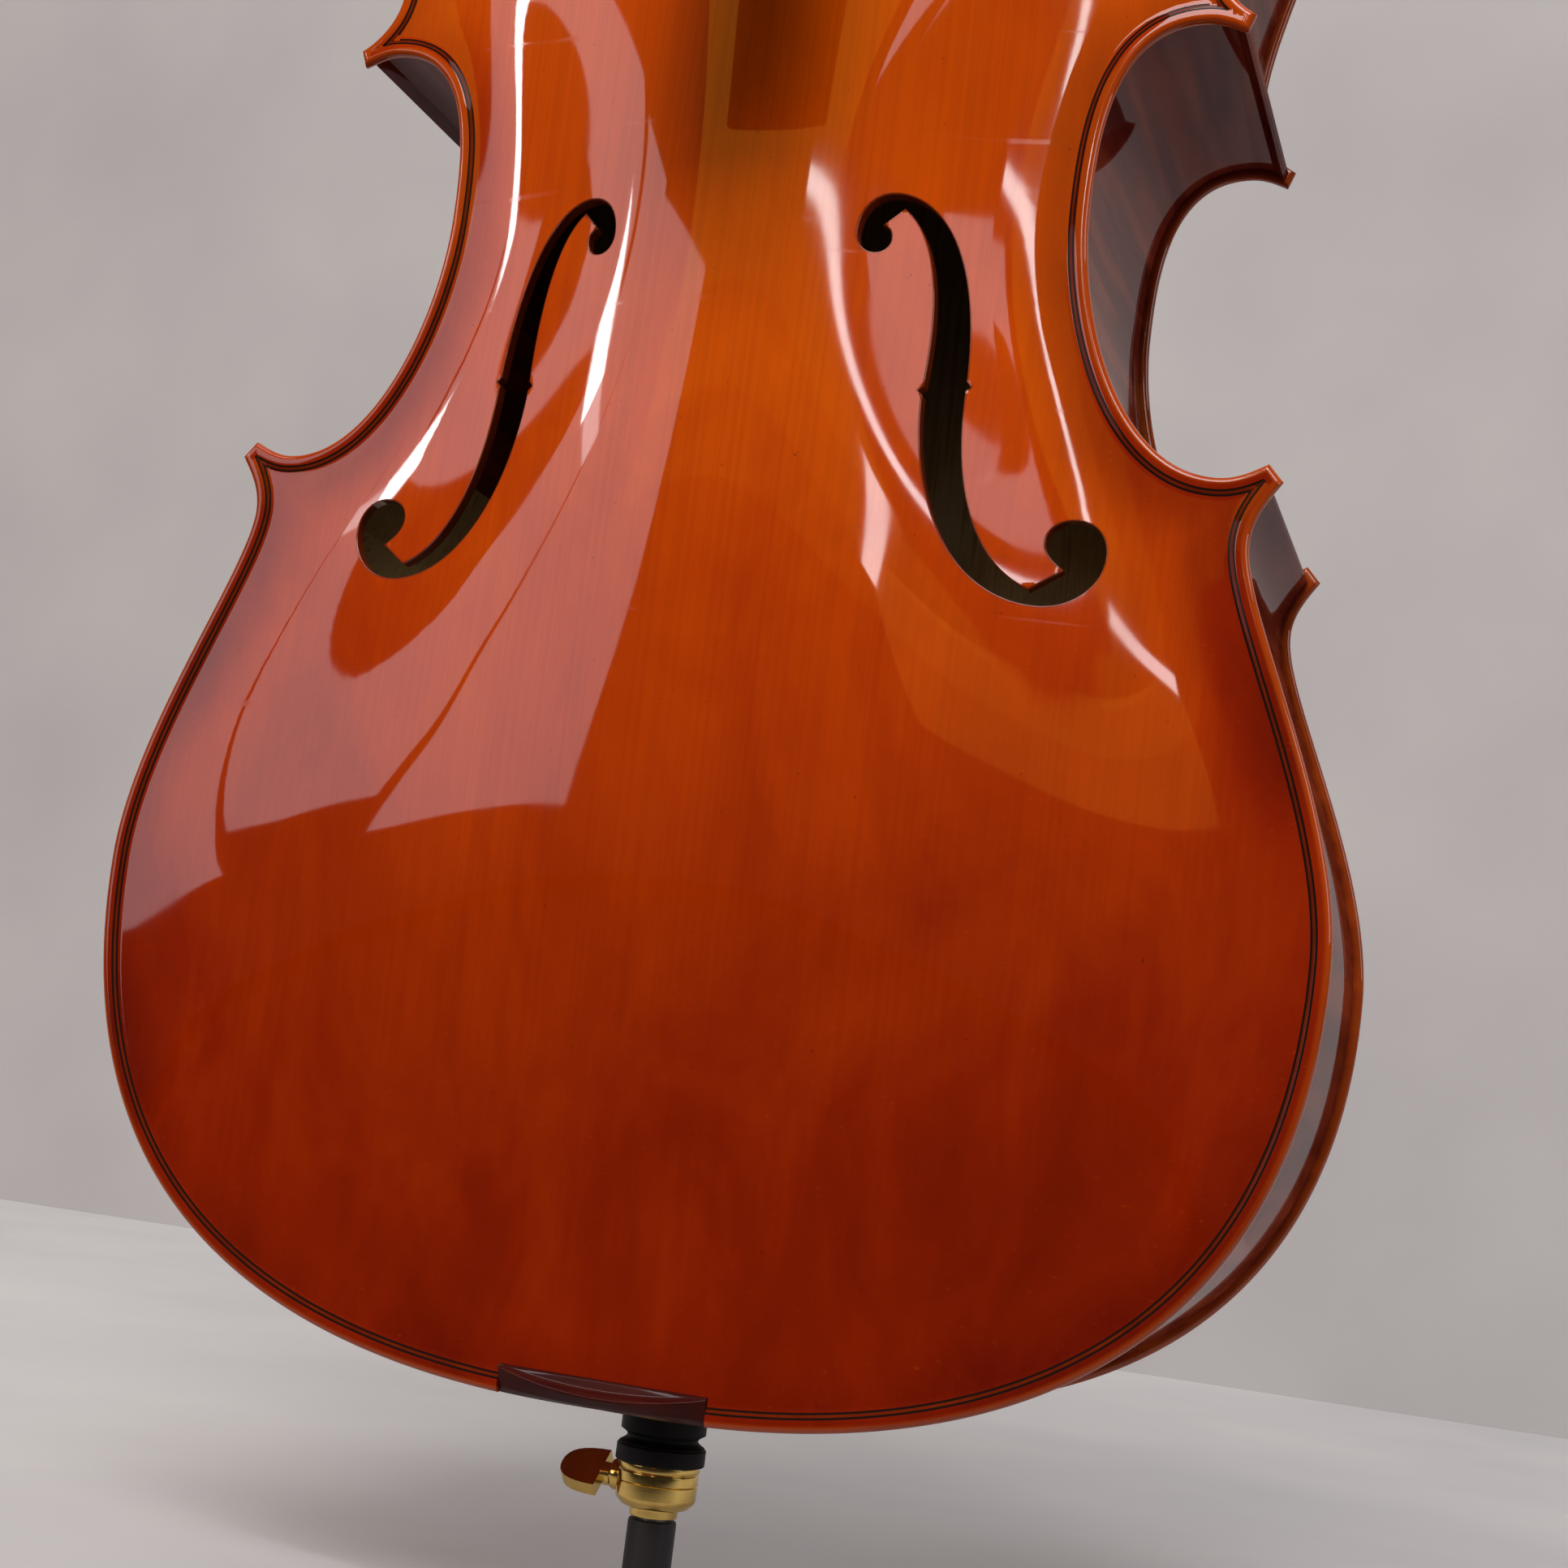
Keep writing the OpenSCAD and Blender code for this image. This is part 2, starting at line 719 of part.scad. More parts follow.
module nut() {
    nut_high = board_side + 5.5;
    color(ebony) neck_frame() difference() {
        intersection() {
            translate([-nut_width / 2, -nut_high, neck_len]) cube([nut_width, nut_high, head_z - neck_len]);
            translate([0, board_radius - nut_high, neck_len - 1])
                cylinder(r = board_radius, h = 12, $fn = 180);
        }
        // four string notches
        for (i = [-1.5:1:1.5])
            translate([i * 7.4, -nut_high + 0.06 * pow(i * 7.4, 2) / 2, neck_len - 1])
                cylinder(r = 0.9, h = 12);
    }
}

// ---------- pegs ----------

grip_len = 34;
collar_len = 5;
ring_len = 1.6;

module grip() {
    // heart-shaped thumb piece with softened faces
    intersection() {
        translate([0, 0, -5.5]) linear_extrude(11) polygon(concat(
            [[0, -5], [0, 5]],
            curve([0, 5], [8, 5], [8, 15], [17, 15.5], 8),
            curve([17, 15.5], [28, 16], [grip_len, 9], [grip_len, 0], 8),
            curve([grip_len, 0], [grip_len, -9], [28, -16], [17, -15.5], 8),
            curve([17, -15.5], [8, -15], [8, -5], [0, -5], 8)));
        translate([17, 0, 0]) scale([1, 1, 0.36]) sphere(r = 22);
    }
}

module peg(k) {
    side = peg_plan[k][2];
    color(ebony) neck_frame() {
        difference() {
            peg_cone(k, 0, 0);
            // string hole inside the slot, facing its open front
            translate([-side * 3, peg_plan[k][1], head_z + peg_plan[k][0]])
                rotate([90, 0, 0]) cylinder(r = 1.4, h = 40, center = true);
        }
        translate([side * (cheek(k) + peg_stand), peg_plan[k][1], head_z + peg_plan[k][0]])
            mirror([side < 0 ? 1 : 0, 0, 0]) {
                rotate([0, 90, 0]) {
                    cylinder(d = peg_dia + 3, h = ring_len);
                    translate([0, 0, ring_len])
                        cylinder(d1 = peg_dia + 2, d2 = peg_dia - 1, h = collar_len - ring_len);
                }
                translate([collar_len - 0.5, 0, 0]) grip();
            }
    }
}

module peg_c() { peg(0); }
module peg_a() { peg(1); }
module peg_g() { peg(2); }
module peg_d() { peg(3); }

// ---------- endpin ----------

// heights below the bottom edge of the plates
groove_top = 11.5;
groove_end = 15.5;
plug_end = 22;
ferrule_end = 37;
neck_end = 40.5;
screw_low = 28.5;
plug_flange = 30;

module down(depth) {
    translate([0, 0, base_z - depth]) children();
}

module rod_bore() {
    translate([0, 0, base_z - 60]) cylinder(r = rod_dia / 2 + rod_clear, h = 140);
}

module endpin_plug() {
    seat = overhang;
    groove_mid = (groove_top + groove_end) / 2;
    color(plug_black) difference() {
        union() {
            // part pressed into the end block
            down(-seat) cylinder(d = plug_bore, h = 30);
            down(groove_top) cylinder(d = plug_flange, h = groove_top + seat);
            down(groove_end) cylinder(d = plug_flange, h = groove_end - groove_top);
            down(plug_end) cylinder(d = plug_flange + 1.5, h = plug_end - groove_end);
        }
        // groove for the tail cord
        down(groove_mid) rotate_extrude() translate([plug_flange / 2 + 0.6, 0]) circle(r = 2.6);
        rod_bore();
    }
}

module screw_axis() {
    down(screw_low) rotate([0, -90, 0]) children();
}

screw_dia = 6;
ferrule_dia = 28.5;

module endpin_ferrule() {
    round_r = 3;
    body_h = ferrule_end - plug_end;
    color(brass) difference() {
        union() {
            down(ferrule_end) rotate_extrude() polygon(concat(
                [[0, 0], [ferrule_dia / 2 - round_r, 0]],
                curve([ferrule_dia / 2 - round_r, 0], [ferrule_dia / 2 - 1, 0],
                    [ferrule_dia / 2, 1], [ferrule_dia / 2, round_r], 5),
                [[ferrule_dia / 2, 8], [ferrule_dia / 2 - 0.4, 8.3], [ferrule_dia / 2, 8.6],
                 [ferrule_dia / 2, body_h], [0, body_h]]));
            down(neck_end) cylinder(d = tip_dia, h = neck_end - ferrule_end);
            // boss that carries the thumb screw
            screw_axis() cylinder(d = 11, h = ferrule_dia / 2 + 2.5);
        }
        rod_bore();
        screw_axis() cylinder(d = screw_dia + 0.1, h = 40);
    }
}

module thumb_screw() {
    tab_start = 20.5;
    tab_len = 15.5;
    tab_half = 8.6;
    tab_turn = 52;
    color(brass) screw_axis() {
        translate([0, 0, rod_dia / 2 + 0.3]) cylinder(d = screw_dia, h = tab_start - rod_dia / 2);
        translate([0, 0, ferrule_dia / 2 + 2.8]) cylinder(d = 8, h = tab_start - ferrule_dia / 2 - 2.8);
        // flat rounded thumb tab, parked at an angle
        translate([0, 0, tab_start]) rotate([90, 0, tab_turn]) translate([0, 0, -2.6]) linear_extrude(5.2)
            polygon(concat(
                [[-tab_half, 0], [tab_half, 0]],
                curve([tab_half, 0], [tab_half, tab_len * 0.7], [tab_half * 0.7, tab_len], [0, tab_len], 8),
                curve([0, tab_len], [-tab_half * 0.7, tab_len], [-tab_half, tab_len * 0.7], [-tab_half, 0], 8)));
    }
}

tip_bore = 22;

module endpin_rod() {
    color(steel) translate([0, 0, tip_len - tip_bore]) cylinder(d = rod_dia, h = rod_len);
}

module rod_stop() {
    rod_top = tip_len - tip_bore + rod_len;
    color(steel) translate([0, 0, rod_top - 8]) difference() {
        cylinder(d = rod_dia + 4, h = 5);
        translate([0, 0, -1]) cylinder(d = rod_dia, h = 7);
    }
}

module endpin_tip() {
    color(rubber) difference() {
        rotate_extrude() polygon(concat(
            [[0, 0], [3, 0]],
            curve([3, 0], [6.5, 0], [tip_dia / 2, 3], [tip_dia / 2, 7], 6),
            [[tip_dia / 2, tip_len], [0, tip_len]]));
        translate([0, 0, tip_len - tip_bore]) cylinder(d = rod_dia, h = tip_bore + 1);
    }
}

top_plate();
back_plate();
rib_lower_left();
rib_lower_right();
rib_center_left();
rib_center_right();
rib_upper_left();
rib_upper_right();
end_block();
neck_block();
block_lower_left();
block_lower_right();
block_upper_left();
block_upper_right();
lining_belly_lower_left();
lining_belly_lower_right();
lining_belly_center_left();
lining_belly_center_right();
lining_belly_upper_left();
lining_belly_upper_right();
lining_back_lower_left();
lining_back_lower_right();
lining_back_center_left();
lining_back_center_right();
lining_back_upper_left();
lining_back_upper_right();
bass_bar();
sound_post();
purfling_belly();
purfling_back();
saddle();
neck_and_scroll();
fingerboard();
nut();
peg_c();
peg_g();
peg_d();
peg_a();
endpin_plug();
endpin_ferrule();
thumb_screw();
endpin_rod();
rod_stop();
endpin_tip();
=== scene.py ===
"""The looks of a cello without strings. The frame is the part's own, in metres: x across, -y to the front,
z up. Outline and arching are worked out in millimetres, x across the body and z up from its bottom edge."""
import math

import bpy
import numpy as np
from mathutils import Matrix, Quaternion, Vector
from mathutils.geometry import delaunay_2d_cdt


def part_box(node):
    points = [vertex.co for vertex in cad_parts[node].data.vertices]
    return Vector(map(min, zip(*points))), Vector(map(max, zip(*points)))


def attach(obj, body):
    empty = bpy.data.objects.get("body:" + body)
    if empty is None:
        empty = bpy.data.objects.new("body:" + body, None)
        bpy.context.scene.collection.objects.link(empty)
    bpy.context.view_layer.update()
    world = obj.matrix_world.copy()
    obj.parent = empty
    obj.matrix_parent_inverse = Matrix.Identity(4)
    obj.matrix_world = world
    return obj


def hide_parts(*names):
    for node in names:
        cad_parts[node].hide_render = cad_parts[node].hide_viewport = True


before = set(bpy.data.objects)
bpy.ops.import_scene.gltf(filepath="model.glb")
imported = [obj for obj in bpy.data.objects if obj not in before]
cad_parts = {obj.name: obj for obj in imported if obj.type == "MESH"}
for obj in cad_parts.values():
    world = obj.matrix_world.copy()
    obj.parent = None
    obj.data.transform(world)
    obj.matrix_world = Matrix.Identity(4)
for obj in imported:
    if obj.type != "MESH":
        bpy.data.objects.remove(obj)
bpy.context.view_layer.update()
scene = bpy.context.scene

MM = 0.001
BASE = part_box("top_plate")[0][2]
BODY_LEN = 755.0
HALF_RIB = 59.5
RIB_THICK = 1.5
OVERHANG = 3.5
EDGE_THICK, CHANNEL_THICK = 4.5, 3.6
# half widths of the body, and the heights at which the outline is that wide
LOWER, WAIST, UPPER = 220, 119.5, 172.5
LOWER_Z, WAIST_Z, UPPER_Z = 167, 413, 612
LOWER_CORNER, UPPER_CORNER = 192, 169

# -------- outline


def path(start, parts):
    """Points of a run of cubic curves after its start. Each part has a count, two handles and an end."""
    out = []
    a = np.array(start, float)
    for n, *rest in parts:
        b, c, d = [np.array(q, float) for q in rest]
        t = np.linspace(0, 1, n + 1)[1:, None]
        out.append((1 - t) ** 3 * a + 3 * (1 - t) ** 2 * t * b + 3 * (1 - t) * t**2 * c + t**3 * d)
        a = d
    return np.vstack(out)


def half_outline():
    """Right half of the plates' outline, from the bottom to the top."""
    low, up = LOWER_CORNER, UPPER_CORNER
    parts = [
        (90, (37, 0), (LOWER, -9), (LOWER, LOWER_Z)),
        (42, (LOWER, 215), (low - 9, 276), (low - 9, 299)),
        (12, (low - 9, 307), (low - 5, 313), (low, 320)),
        (4, (low - 1.7, 322), (low - 3.3, 324), (low - 5, 326)),
        (9, (low - 9, 324), (low - 14, 321), (low - 20, 321)),
        (48, (low - 54, 321), (WAIST, 375), (WAIST, WAIST_Z)),
        (38, (WAIST, 440), (WAIST + 2, 479), (up - 16, 479)),
        (8, (up - 11, 479), (up - 7, 477), (up - 2.5, 475)),
        (4, (up - 1.7, 477.2), (up - 0.8, 479.3), (up, 481.5)),
        (14, (up - 7, 485.5), (up - 14.5, 494), (up - 14.5, 505)),
        (36, (up - 14.5, 540), (UPPER, 570), (UPPER, UPPER_Z)),
        (84, (UPPER, 695), (105, BODY_LEN), (0, BODY_LEN)),
    ]
    return np.vstack([[[0.0, 0.0]], path((0, 0), parts)])


def mirrored(half):
    """A closed loop from its right half."""
    return np.vstack([half, half[-2:0:-1] * [-1, 1]])


def loop_normals(pts):
    """Outward unit normals at the points of a closed counter-clockwise loop."""
    e = np.roll(pts, -1, 0) - pts
    e /= np.linalg.norm(e, axis=1)[:, None] + 1e-12
    n = np.stack([e[:, 1], -e[:, 0]], 1)
    m = n + np.roll(n, 1, 0)
    return m / (np.linalg.norm(m, axis=1)[:, None] + 1e-12)


def nearest(pts, loop):
    """Distance from each point to a closed loop and the nearest point on it."""
    a, b = loop, np.roll(loop, -1, 0)
    ab = b - a
    den = (ab**2).sum(1) + 1e-12
    dist = np.empty(len(pts))
    foot = np.empty((len(pts), 2))
    batch = 1500
    for s in range(0, len(pts), batch):
        p = pts[s : s + batch]
        ap = p[:, None] - a[None]
        t = np.clip((ap * ab[None]).sum(2) / den, 0, 1)
        q = a[None] + t[..., None] * ab[None]
        d2 = ((p[:, None] - q) ** 2).sum(2)
        k = d2.argmin(1)
        dist[s : s + batch] = np.sqrt(d2[np.arange(len(p)), k])
        foot[s : s + batch] = q[np.arange(len(p)), k]
    return dist, foot


def inside(pts, loop):
    """Even-odd test of points against a closed loop."""
    a, b = loop, np.roll(loop, -1, 0)
    out = np.zeros(len(pts), bool)
    batch = 4000
    for s in range(0, len(pts), batch):
        p = pts[s : s + batch]
        y = p[:, 1][:, None]
        crosses = (a[None, :, 1] > y) != (b[None, :, 1] > y)
        with np.errstate(divide="ignore", invalid="ignore"):
            xs = a[None, :, 0] + (y - a[None, :, 1]) / (b - a)[None, :, 1] * (b - a)[None, :, 0]
        out[s : s + batch] = ((p[:, 0][:, None] < xs) & crosses).sum(1) % 2 == 1
    return out


def cross_point(p0, p1, q0, q1):
    """Where two lines meet, each given by two points."""
    d1, d2 = p1 - p0, q1 - q0
    den = d1[0] * d2[1] - d1[1] * d2[0]
    if abs(den) < 1e-9:
        return None
    t = ((q0[0] - p0[0]) * d2[1] - (q0[1] - p0[1]) * d2[0]) / den
    return p0 + t * d1


def offset_loop(loop, normals, d):
    """The loop moved inwards by d, with mitre points where it would fold."""
    if d == 0:
        return loop.copy()
    longest_mitre = 7
    moved = loop - normals * d
    keep = nearest(moved, loop)[0] > d - 0.02 - 0.01 * d
    n = len(loop)
    start = int(np.argmax(keep & np.roll(keep, 1)))
    pts = []
    i = 0
    while i < n:
        k = (start + i) % n
        if keep[k]:
            pts.append(moved[k])
            i += 1
            continue
        j = i
        while not keep[(start + j) % n]:
            j += 1
        a1, a0 = pts[-1], pts[-2]
        b0, b1 = moved[(start + j) % n], moved[(start + j + 1) % n]
        m = cross_point(a0, a1, b0, b1)
        if m is not None and max(np.linalg.norm(m - a1), np.linalg.norm(m - b0)) < longest_mitre:
            pts.append(m)
        i = j
    return np.array(pts)


EDGE = mirrored(half_outline())
EDGE_NORMALS = loop_normals(EDGE)

# -------- arching

# how far in from the edge the arch begins, at the sides and at both ends
SIDE_IN, END_IN = 12, 10
GRID = 2.0
GRID_X, GRID_Z = -260, -40


def arch_half(z):
    """Half width of the arch at a height on the body."""
    z = np.asarray(z, float)
    least = 20
    low, mid, up = LOWER - SIDE_IN, WAIST - SIDE_IN, UPPER - SIDE_IN
    below = np.clip((LOWER_Z - z) / (LOWER_Z - END_IN), 0, 1)
    above = np.clip((z - UPPER_Z) / (BODY_LEN - UPPER_Z - END_IN), 0, 1)
    bottom = np.maximum(least, low * np.maximum(0, 1 - below**2.4) ** 0.45)
    top = np.maximum(least, up * np.maximum(0, 1 - above**2.4) ** 0.45)
    to_waist = low + (mid - low) * (1 - np.cos(np.pi * (z - LOWER_Z) / (WAIST_Z - LOWER_Z))) / 2
    from_waist = mid + (up - mid) * (1 - np.cos(np.pi * (z - WAIST_Z) / (UPPER_Z - WAIST_Z))) / 2
    middle = np.where(z <= WAIST_Z, to_waist, from_waist)
    return np.where(z <= LOWER_Z, bottom, np.where(z <= UPPER_Z, middle, top))


def arch(x, z, rise, narrower):
    """Height of the arch over the channel."""
    half_len = BODY_LEN / 2
    t = np.minimum(1, np.abs(z - half_len) / (half_len - END_IN))
    u = np.minimum(1, np.abs(x) / (arch_half(z) - narrower))
    return rise * (1 - t**2.6) ** 1.2 * np.maximum(0, 1 - u**2.2) ** 2


def smooth_grid(rise, narrower, sigma=6.0):
    """The arch on a square grid, smoothed so that its slopes run on without a kink."""
    xs = np.arange(GRID_X, -GRID_X + GRID, GRID)
    zs = np.arange(GRID_Z, 840, GRID)
    g = arch(*np.meshgrid(xs, zs), rise, narrower)
    k = np.exp(-0.5 * (np.arange(-12, 13) * GRID / sigma) ** 2)
    k /= k.sum()
    for axis in (0, 1):
        g = np.apply_along_axis(lambda r: np.convolve(r, k, "same"), axis, g)
    return g


def sample(g, x, z):
    """Cubic sample of the grid and its slopes along x and z."""
    fx, fz = (np.asarray(x, float) - GRID_X) / GRID, (np.asarray(z, float) - GRID_Z) / GRID
    ix = np.clip(np.floor(fx).astype(int), 1, g.shape[1] - 3)
    iz = np.clip(np.floor(fz).astype(int), 1, g.shape[0] - 3)

    def weights(t):
        return [(1 - t) ** 3 / 6, (3 * t**3 - 6 * t**2 + 4) / 6,
                (-3 * t**3 + 3 * t**2 + 3 * t + 1) / 6, t**3 / 6]

    def slopes(t):
        return [-((1 - t) ** 2) / 2, (9 * t**2 - 12 * t) / 6, (-9 * t**2 + 6 * t + 3) / 6, t**2 / 2]

    wx, wz, dx, dz = weights(fx - ix), weights(fz - iz), slopes(fx - ix), slopes(fz - iz)
    h = sx = sz = 0
    for a in range(4):
        for b in range(4):
            v = g[iz + a - 1, ix + b - 1]
            h = h + wz[a] * wx[b] * v
            sx = sx + wz[a] * dx[b] * v / GRID
            sz = sz + dz[a] * wx[b] * v / GRID
    return h, sx, sz


# radii of the plate's edge, outside and inside, and the run from the bead down to the channel
ROUND, ROUND_UNDER, CHANNEL_RUN = 2.2, 1.8, 6.0


def bead(d):
    """Height of the plate's surface at distance d from its edge, and the slope along d."""
    d = np.asarray(d, float)
    mid, top = EDGE_THICK / 2, EDGE_THICK
    s = np.clip(1 - d / ROUND, 0, 1)
    c = np.sqrt(np.maximum(1 - s * s, 1e-6))
    rounded = mid + (top - mid) * np.sqrt(np.maximum(1 - s * s, 0))
    rounded_slope = (top - mid) * s / (ROUND * c)
    far = np.clip((d - ROUND) / CHANNEL_RUN, 0, 1)
    fluted = CHANNEL_THICK + (top - CHANNEL_THICK) * (1 + np.cos(np.pi * far)) / 2
    fluted_slope = -(top - CHANNEL_THICK) * np.pi * np.sin(np.pi * far) / (2 * CHANNEL_RUN)
    return np.where(d < ROUND, rounded, fluted), np.where(d < ROUND, rounded_slope, fluted_slope)


def underside(d):
    """Height of the plate's inner edge at distance d from its edge."""
    s = np.clip(1 - np.asarray(d, float) / ROUND_UNDER, 0, 1)
    return EDGE_THICK / 2 * (1 - np.sqrt(np.maximum(1 - s * s, 0)))


# -------- f-holes

# the two nicks that mark the bridge line: x, z and the side to which each one points
NICKS = ((72.6, 344.8, -1), (85.9, 348, 1))
NICK_DEEP = 1.7


def nicked(pts, x, z, side):
    """The outline with a small pointed nick cut in where it passes the height z near x."""
    out = []
    for p, q in zip(pts, np.roll(pts, -1, 0)):
        close = abs(p[0] - x) < 4
        if not (close and abs(p[1] - z) < NICK_DEEP + 0.1):
            out.append(p)
        if close and (p[1] - z) * (q[1] - z) <= 0:
            way = NICK_DEEP if q[1] > p[1] else -NICK_DEEP
            out += [np.array([x, z - way]), np.array([x + NICK_DEEP * side, z]), np.array([x, z + way])]
    return np.array(out)


def f_hole():
    """Outline of the right f-hole, from its upper eye down the stem to the lower eye and back up."""
    parts = [
        (8, (43.7, 407), (48.5, 413.6), (56, 413.6)),
        (26, (72, 413.6), (85, 392), (85, 345)),
        (22, (85, 312), (94.5, 286.5), (113.4, 279.4)),
        (4, (117, 282), (120.3, 284.5), (123.8, 287)),
        (6, (119.5, 290), (116.8, 293), (116.8, 296)),
        (8, (116.8, 301), (121, 304.3), (126.6, 304.3)),
        (8, (132.5, 304.3), (136.8, 299.5), (136.8, 293)),
        (12, (136.8, 283), (128, 274.2), (116.5, 274.2)),
        (28, (88, 274.2), (71.5, 307), (71.5, 345)),
        (22, (73.5, 375), (70, 401), (58.1, 408.7)),
        (4, (56, 406.5), (53.8, 404.2), (51.7, 402)),
        (4, (54, 401.5), (55, 400), (55, 397.7)),
        (6, (55, 394.5), (52.6, 392.1), (49.4, 392.1)),
        (6, (46, 392.1), (43.7, 395), (43.7, 399)),
    ]
    pts = path((43.7, 399), parts) + [1.0, 0.0]
    for nick in NICKS:
        pts = nicked(pts, *nick)
    # drawn clockwise, and every loop here is kept counter-clockwise
    return pts[::-1].copy()


F_RIGHT = f_hole()
F_LEFT = (F_RIGHT * [-1, 1])[::-1].copy()

# -------- mesh helpers


def new_object(name, verts, faces, loop_norms=None, sharp=None):
    """A smooth mesh in metres, with its own normals or with edges sharp from an angle in degrees."""
    me = bpy.data.meshes.new(name)
    me.from_pydata([tuple(v) for v in verts], [], [tuple(int(i) for i in f) for f in faces])
    me.update()
    ob = bpy.data.objects.new(name, me)
    scene.collection.objects.link(ob)
    me.polygons.foreach_set("use_smooth", np.ones(len(me.polygons), bool))
    if sharp is not None:
        me.set_sharp_from_angle(angle=math.radians(sharp))
    if loop_norms is not None:
        me.normals_split_custom_set([tuple(n) for n in loop_norms])
    return ob


def set_attr(ob, name, values):
    """Stores a number per point, which a material reads by name."""
    a = ob.data.attributes.new(name, "FLOAT", "POINT")
    a.data.foreach_set("value", np.asarray(values, np.float32))


def place(ob, body, slot, mat, *nodes):
    """Gives a new piece its material, the body that it rides on and the nodes that it stands for."""
    ob.data.materials.clear()
    ob.data.materials.append(mat)
    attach(ob, body)
    if nodes:
        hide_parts(*nodes)


# -------- node helpers


class Nodes:
    """Builds a material's nodes. Most methods add one node and return its output."""

    def __init__(self, name):
        self.mat = bpy.data.materials.new(name)
        self.mat.use_nodes = True
        self.t = self.mat.node_tree
        self.bsdf = self.t.nodes["Principled BSDF"]
        self.coord = self.t.nodes.new("ShaderNodeTexCoord").outputs["Object"]

    def node(self, kind, **props):
        n = self.t.nodes.new(kind)
        for k, v in props.items():
            setattr(n, k, v)
        return n

    def link(self, a, b):
        self.t.links.new(a, b)

    def fill(self, node, **values):
        for k, v in values.items():
            node.inputs[k.replace("_", " ")].default_value = v

    def set(self, **values):
        self.fill(self.bsdf, **values)

    def scaled(self, sx, sy, sz, move=(0, 0, 0)):
        m = self.node("ShaderNodeMapping")
        self.fill(m, Scale=(sx, sy, sz), Location=move)
        self.link(self.coord, m.inputs["Vector"])
        return m.outputs["Vector"]

    def noise(self, vec, scale=1.0, detail=3.0, rough=0.55, distort=0.0):
        n = self.node("ShaderNodeTexNoise")
        self.fill(n, Scale=scale, Detail=detail, Roughness=rough, Distortion=distort)
        self.link(vec, n.inputs["Vector"])
        return n.outputs["Fac"]

    def ramp(self, fac, *stops):
        r = self.node("ShaderNodeValToRGB")
        e = r.color_ramp.elements
        while len(e) < len(stops):
            e.new(0.5)
        for el, (pos, col) in zip(e, stops):
            el.position = pos
            el.color = (*col, 1)
        self.link(fac, r.inputs["Fac"])
        return r.outputs["Color"]

    def mix(self, fac, a, b):
        """Mixes two colours, each a socket or three numbers. The factor is a socket."""
        m = self.node("ShaderNodeMix", data_type="RGBA")
        ins = {i.identifier: i for i in m.inputs}
        self.link(fac, ins["Factor_Float"])
        for key, v in (("A_Color", a), ("B_Color", b)):
            if isinstance(v, bpy.types.NodeSocket):
                self.link(v, ins[key])
            else:
                ins[key].default_value = (*v, 1)
        return [o for o in m.outputs if o.identifier == "Result_Color"][0]

    def math(self, op, *values, clamp=False):
        m = self.node("ShaderNodeMath", operation=op, use_clamp=clamp)
        for i, v in enumerate(values):
            if isinstance(v, bpy.types.NodeSocket):
                self.link(v, m.inputs[i])
            else:
                m.inputs[i].default_value = v
        return m.outputs[0]

    def add(self, *values, clamp=False):
        return self.math("ADD", *values, clamp=clamp)

    def times(self, *values):
        return self.math("MULTIPLY", *values)

    def range(self, v, a, b, c=0.0, d=1.0, smooth=True):
        """Maps a to b onto c to d, clamped."""
        m = self.node("ShaderNodeMapRange", interpolation_type="SMOOTHSTEP" if smooth else "LINEAR")
        self.link(v, m.inputs["Value"])
        for k, x in zip(("From Min", "From Max", "To Min", "To Max"), (a, b, c, d)):
            m.inputs[k].default_value = x
        return m.outputs["Result"]

    def axes(self):
        s = self.node("ShaderNodeSeparateXYZ")
        self.link(self.coord, s.inputs[0])
        return s.outputs

    def feed(self, **sockets):
        """Links outputs to the shader's own sockets."""
        for k, v in sockets.items():
            self.link(v, self.bsdf.inputs[k.replace("_", " ")])

    def attribute(self, name):
        a = self.node("ShaderNodeAttribute")
        a.attribute_name = name
        return a.outputs["Fac"]

    def bump(self, height, strength, distance, into="Normal"):
        b = self.node("ShaderNodeBump")
        self.fill(b, Strength=strength, Distance=distance)
        self.link(height, b.inputs["Height"])
        self.link(b.outputs["Normal"], self.bsdf.inputs[into])


# -------- materials


def sunk_coat(n):
    """Slow swell of the clear coat, shared by belly and purfling."""
    return n.noise(n.scaled(30, 30, 11, (8, 1, 3)), 1.0, 0.0, 0.45)


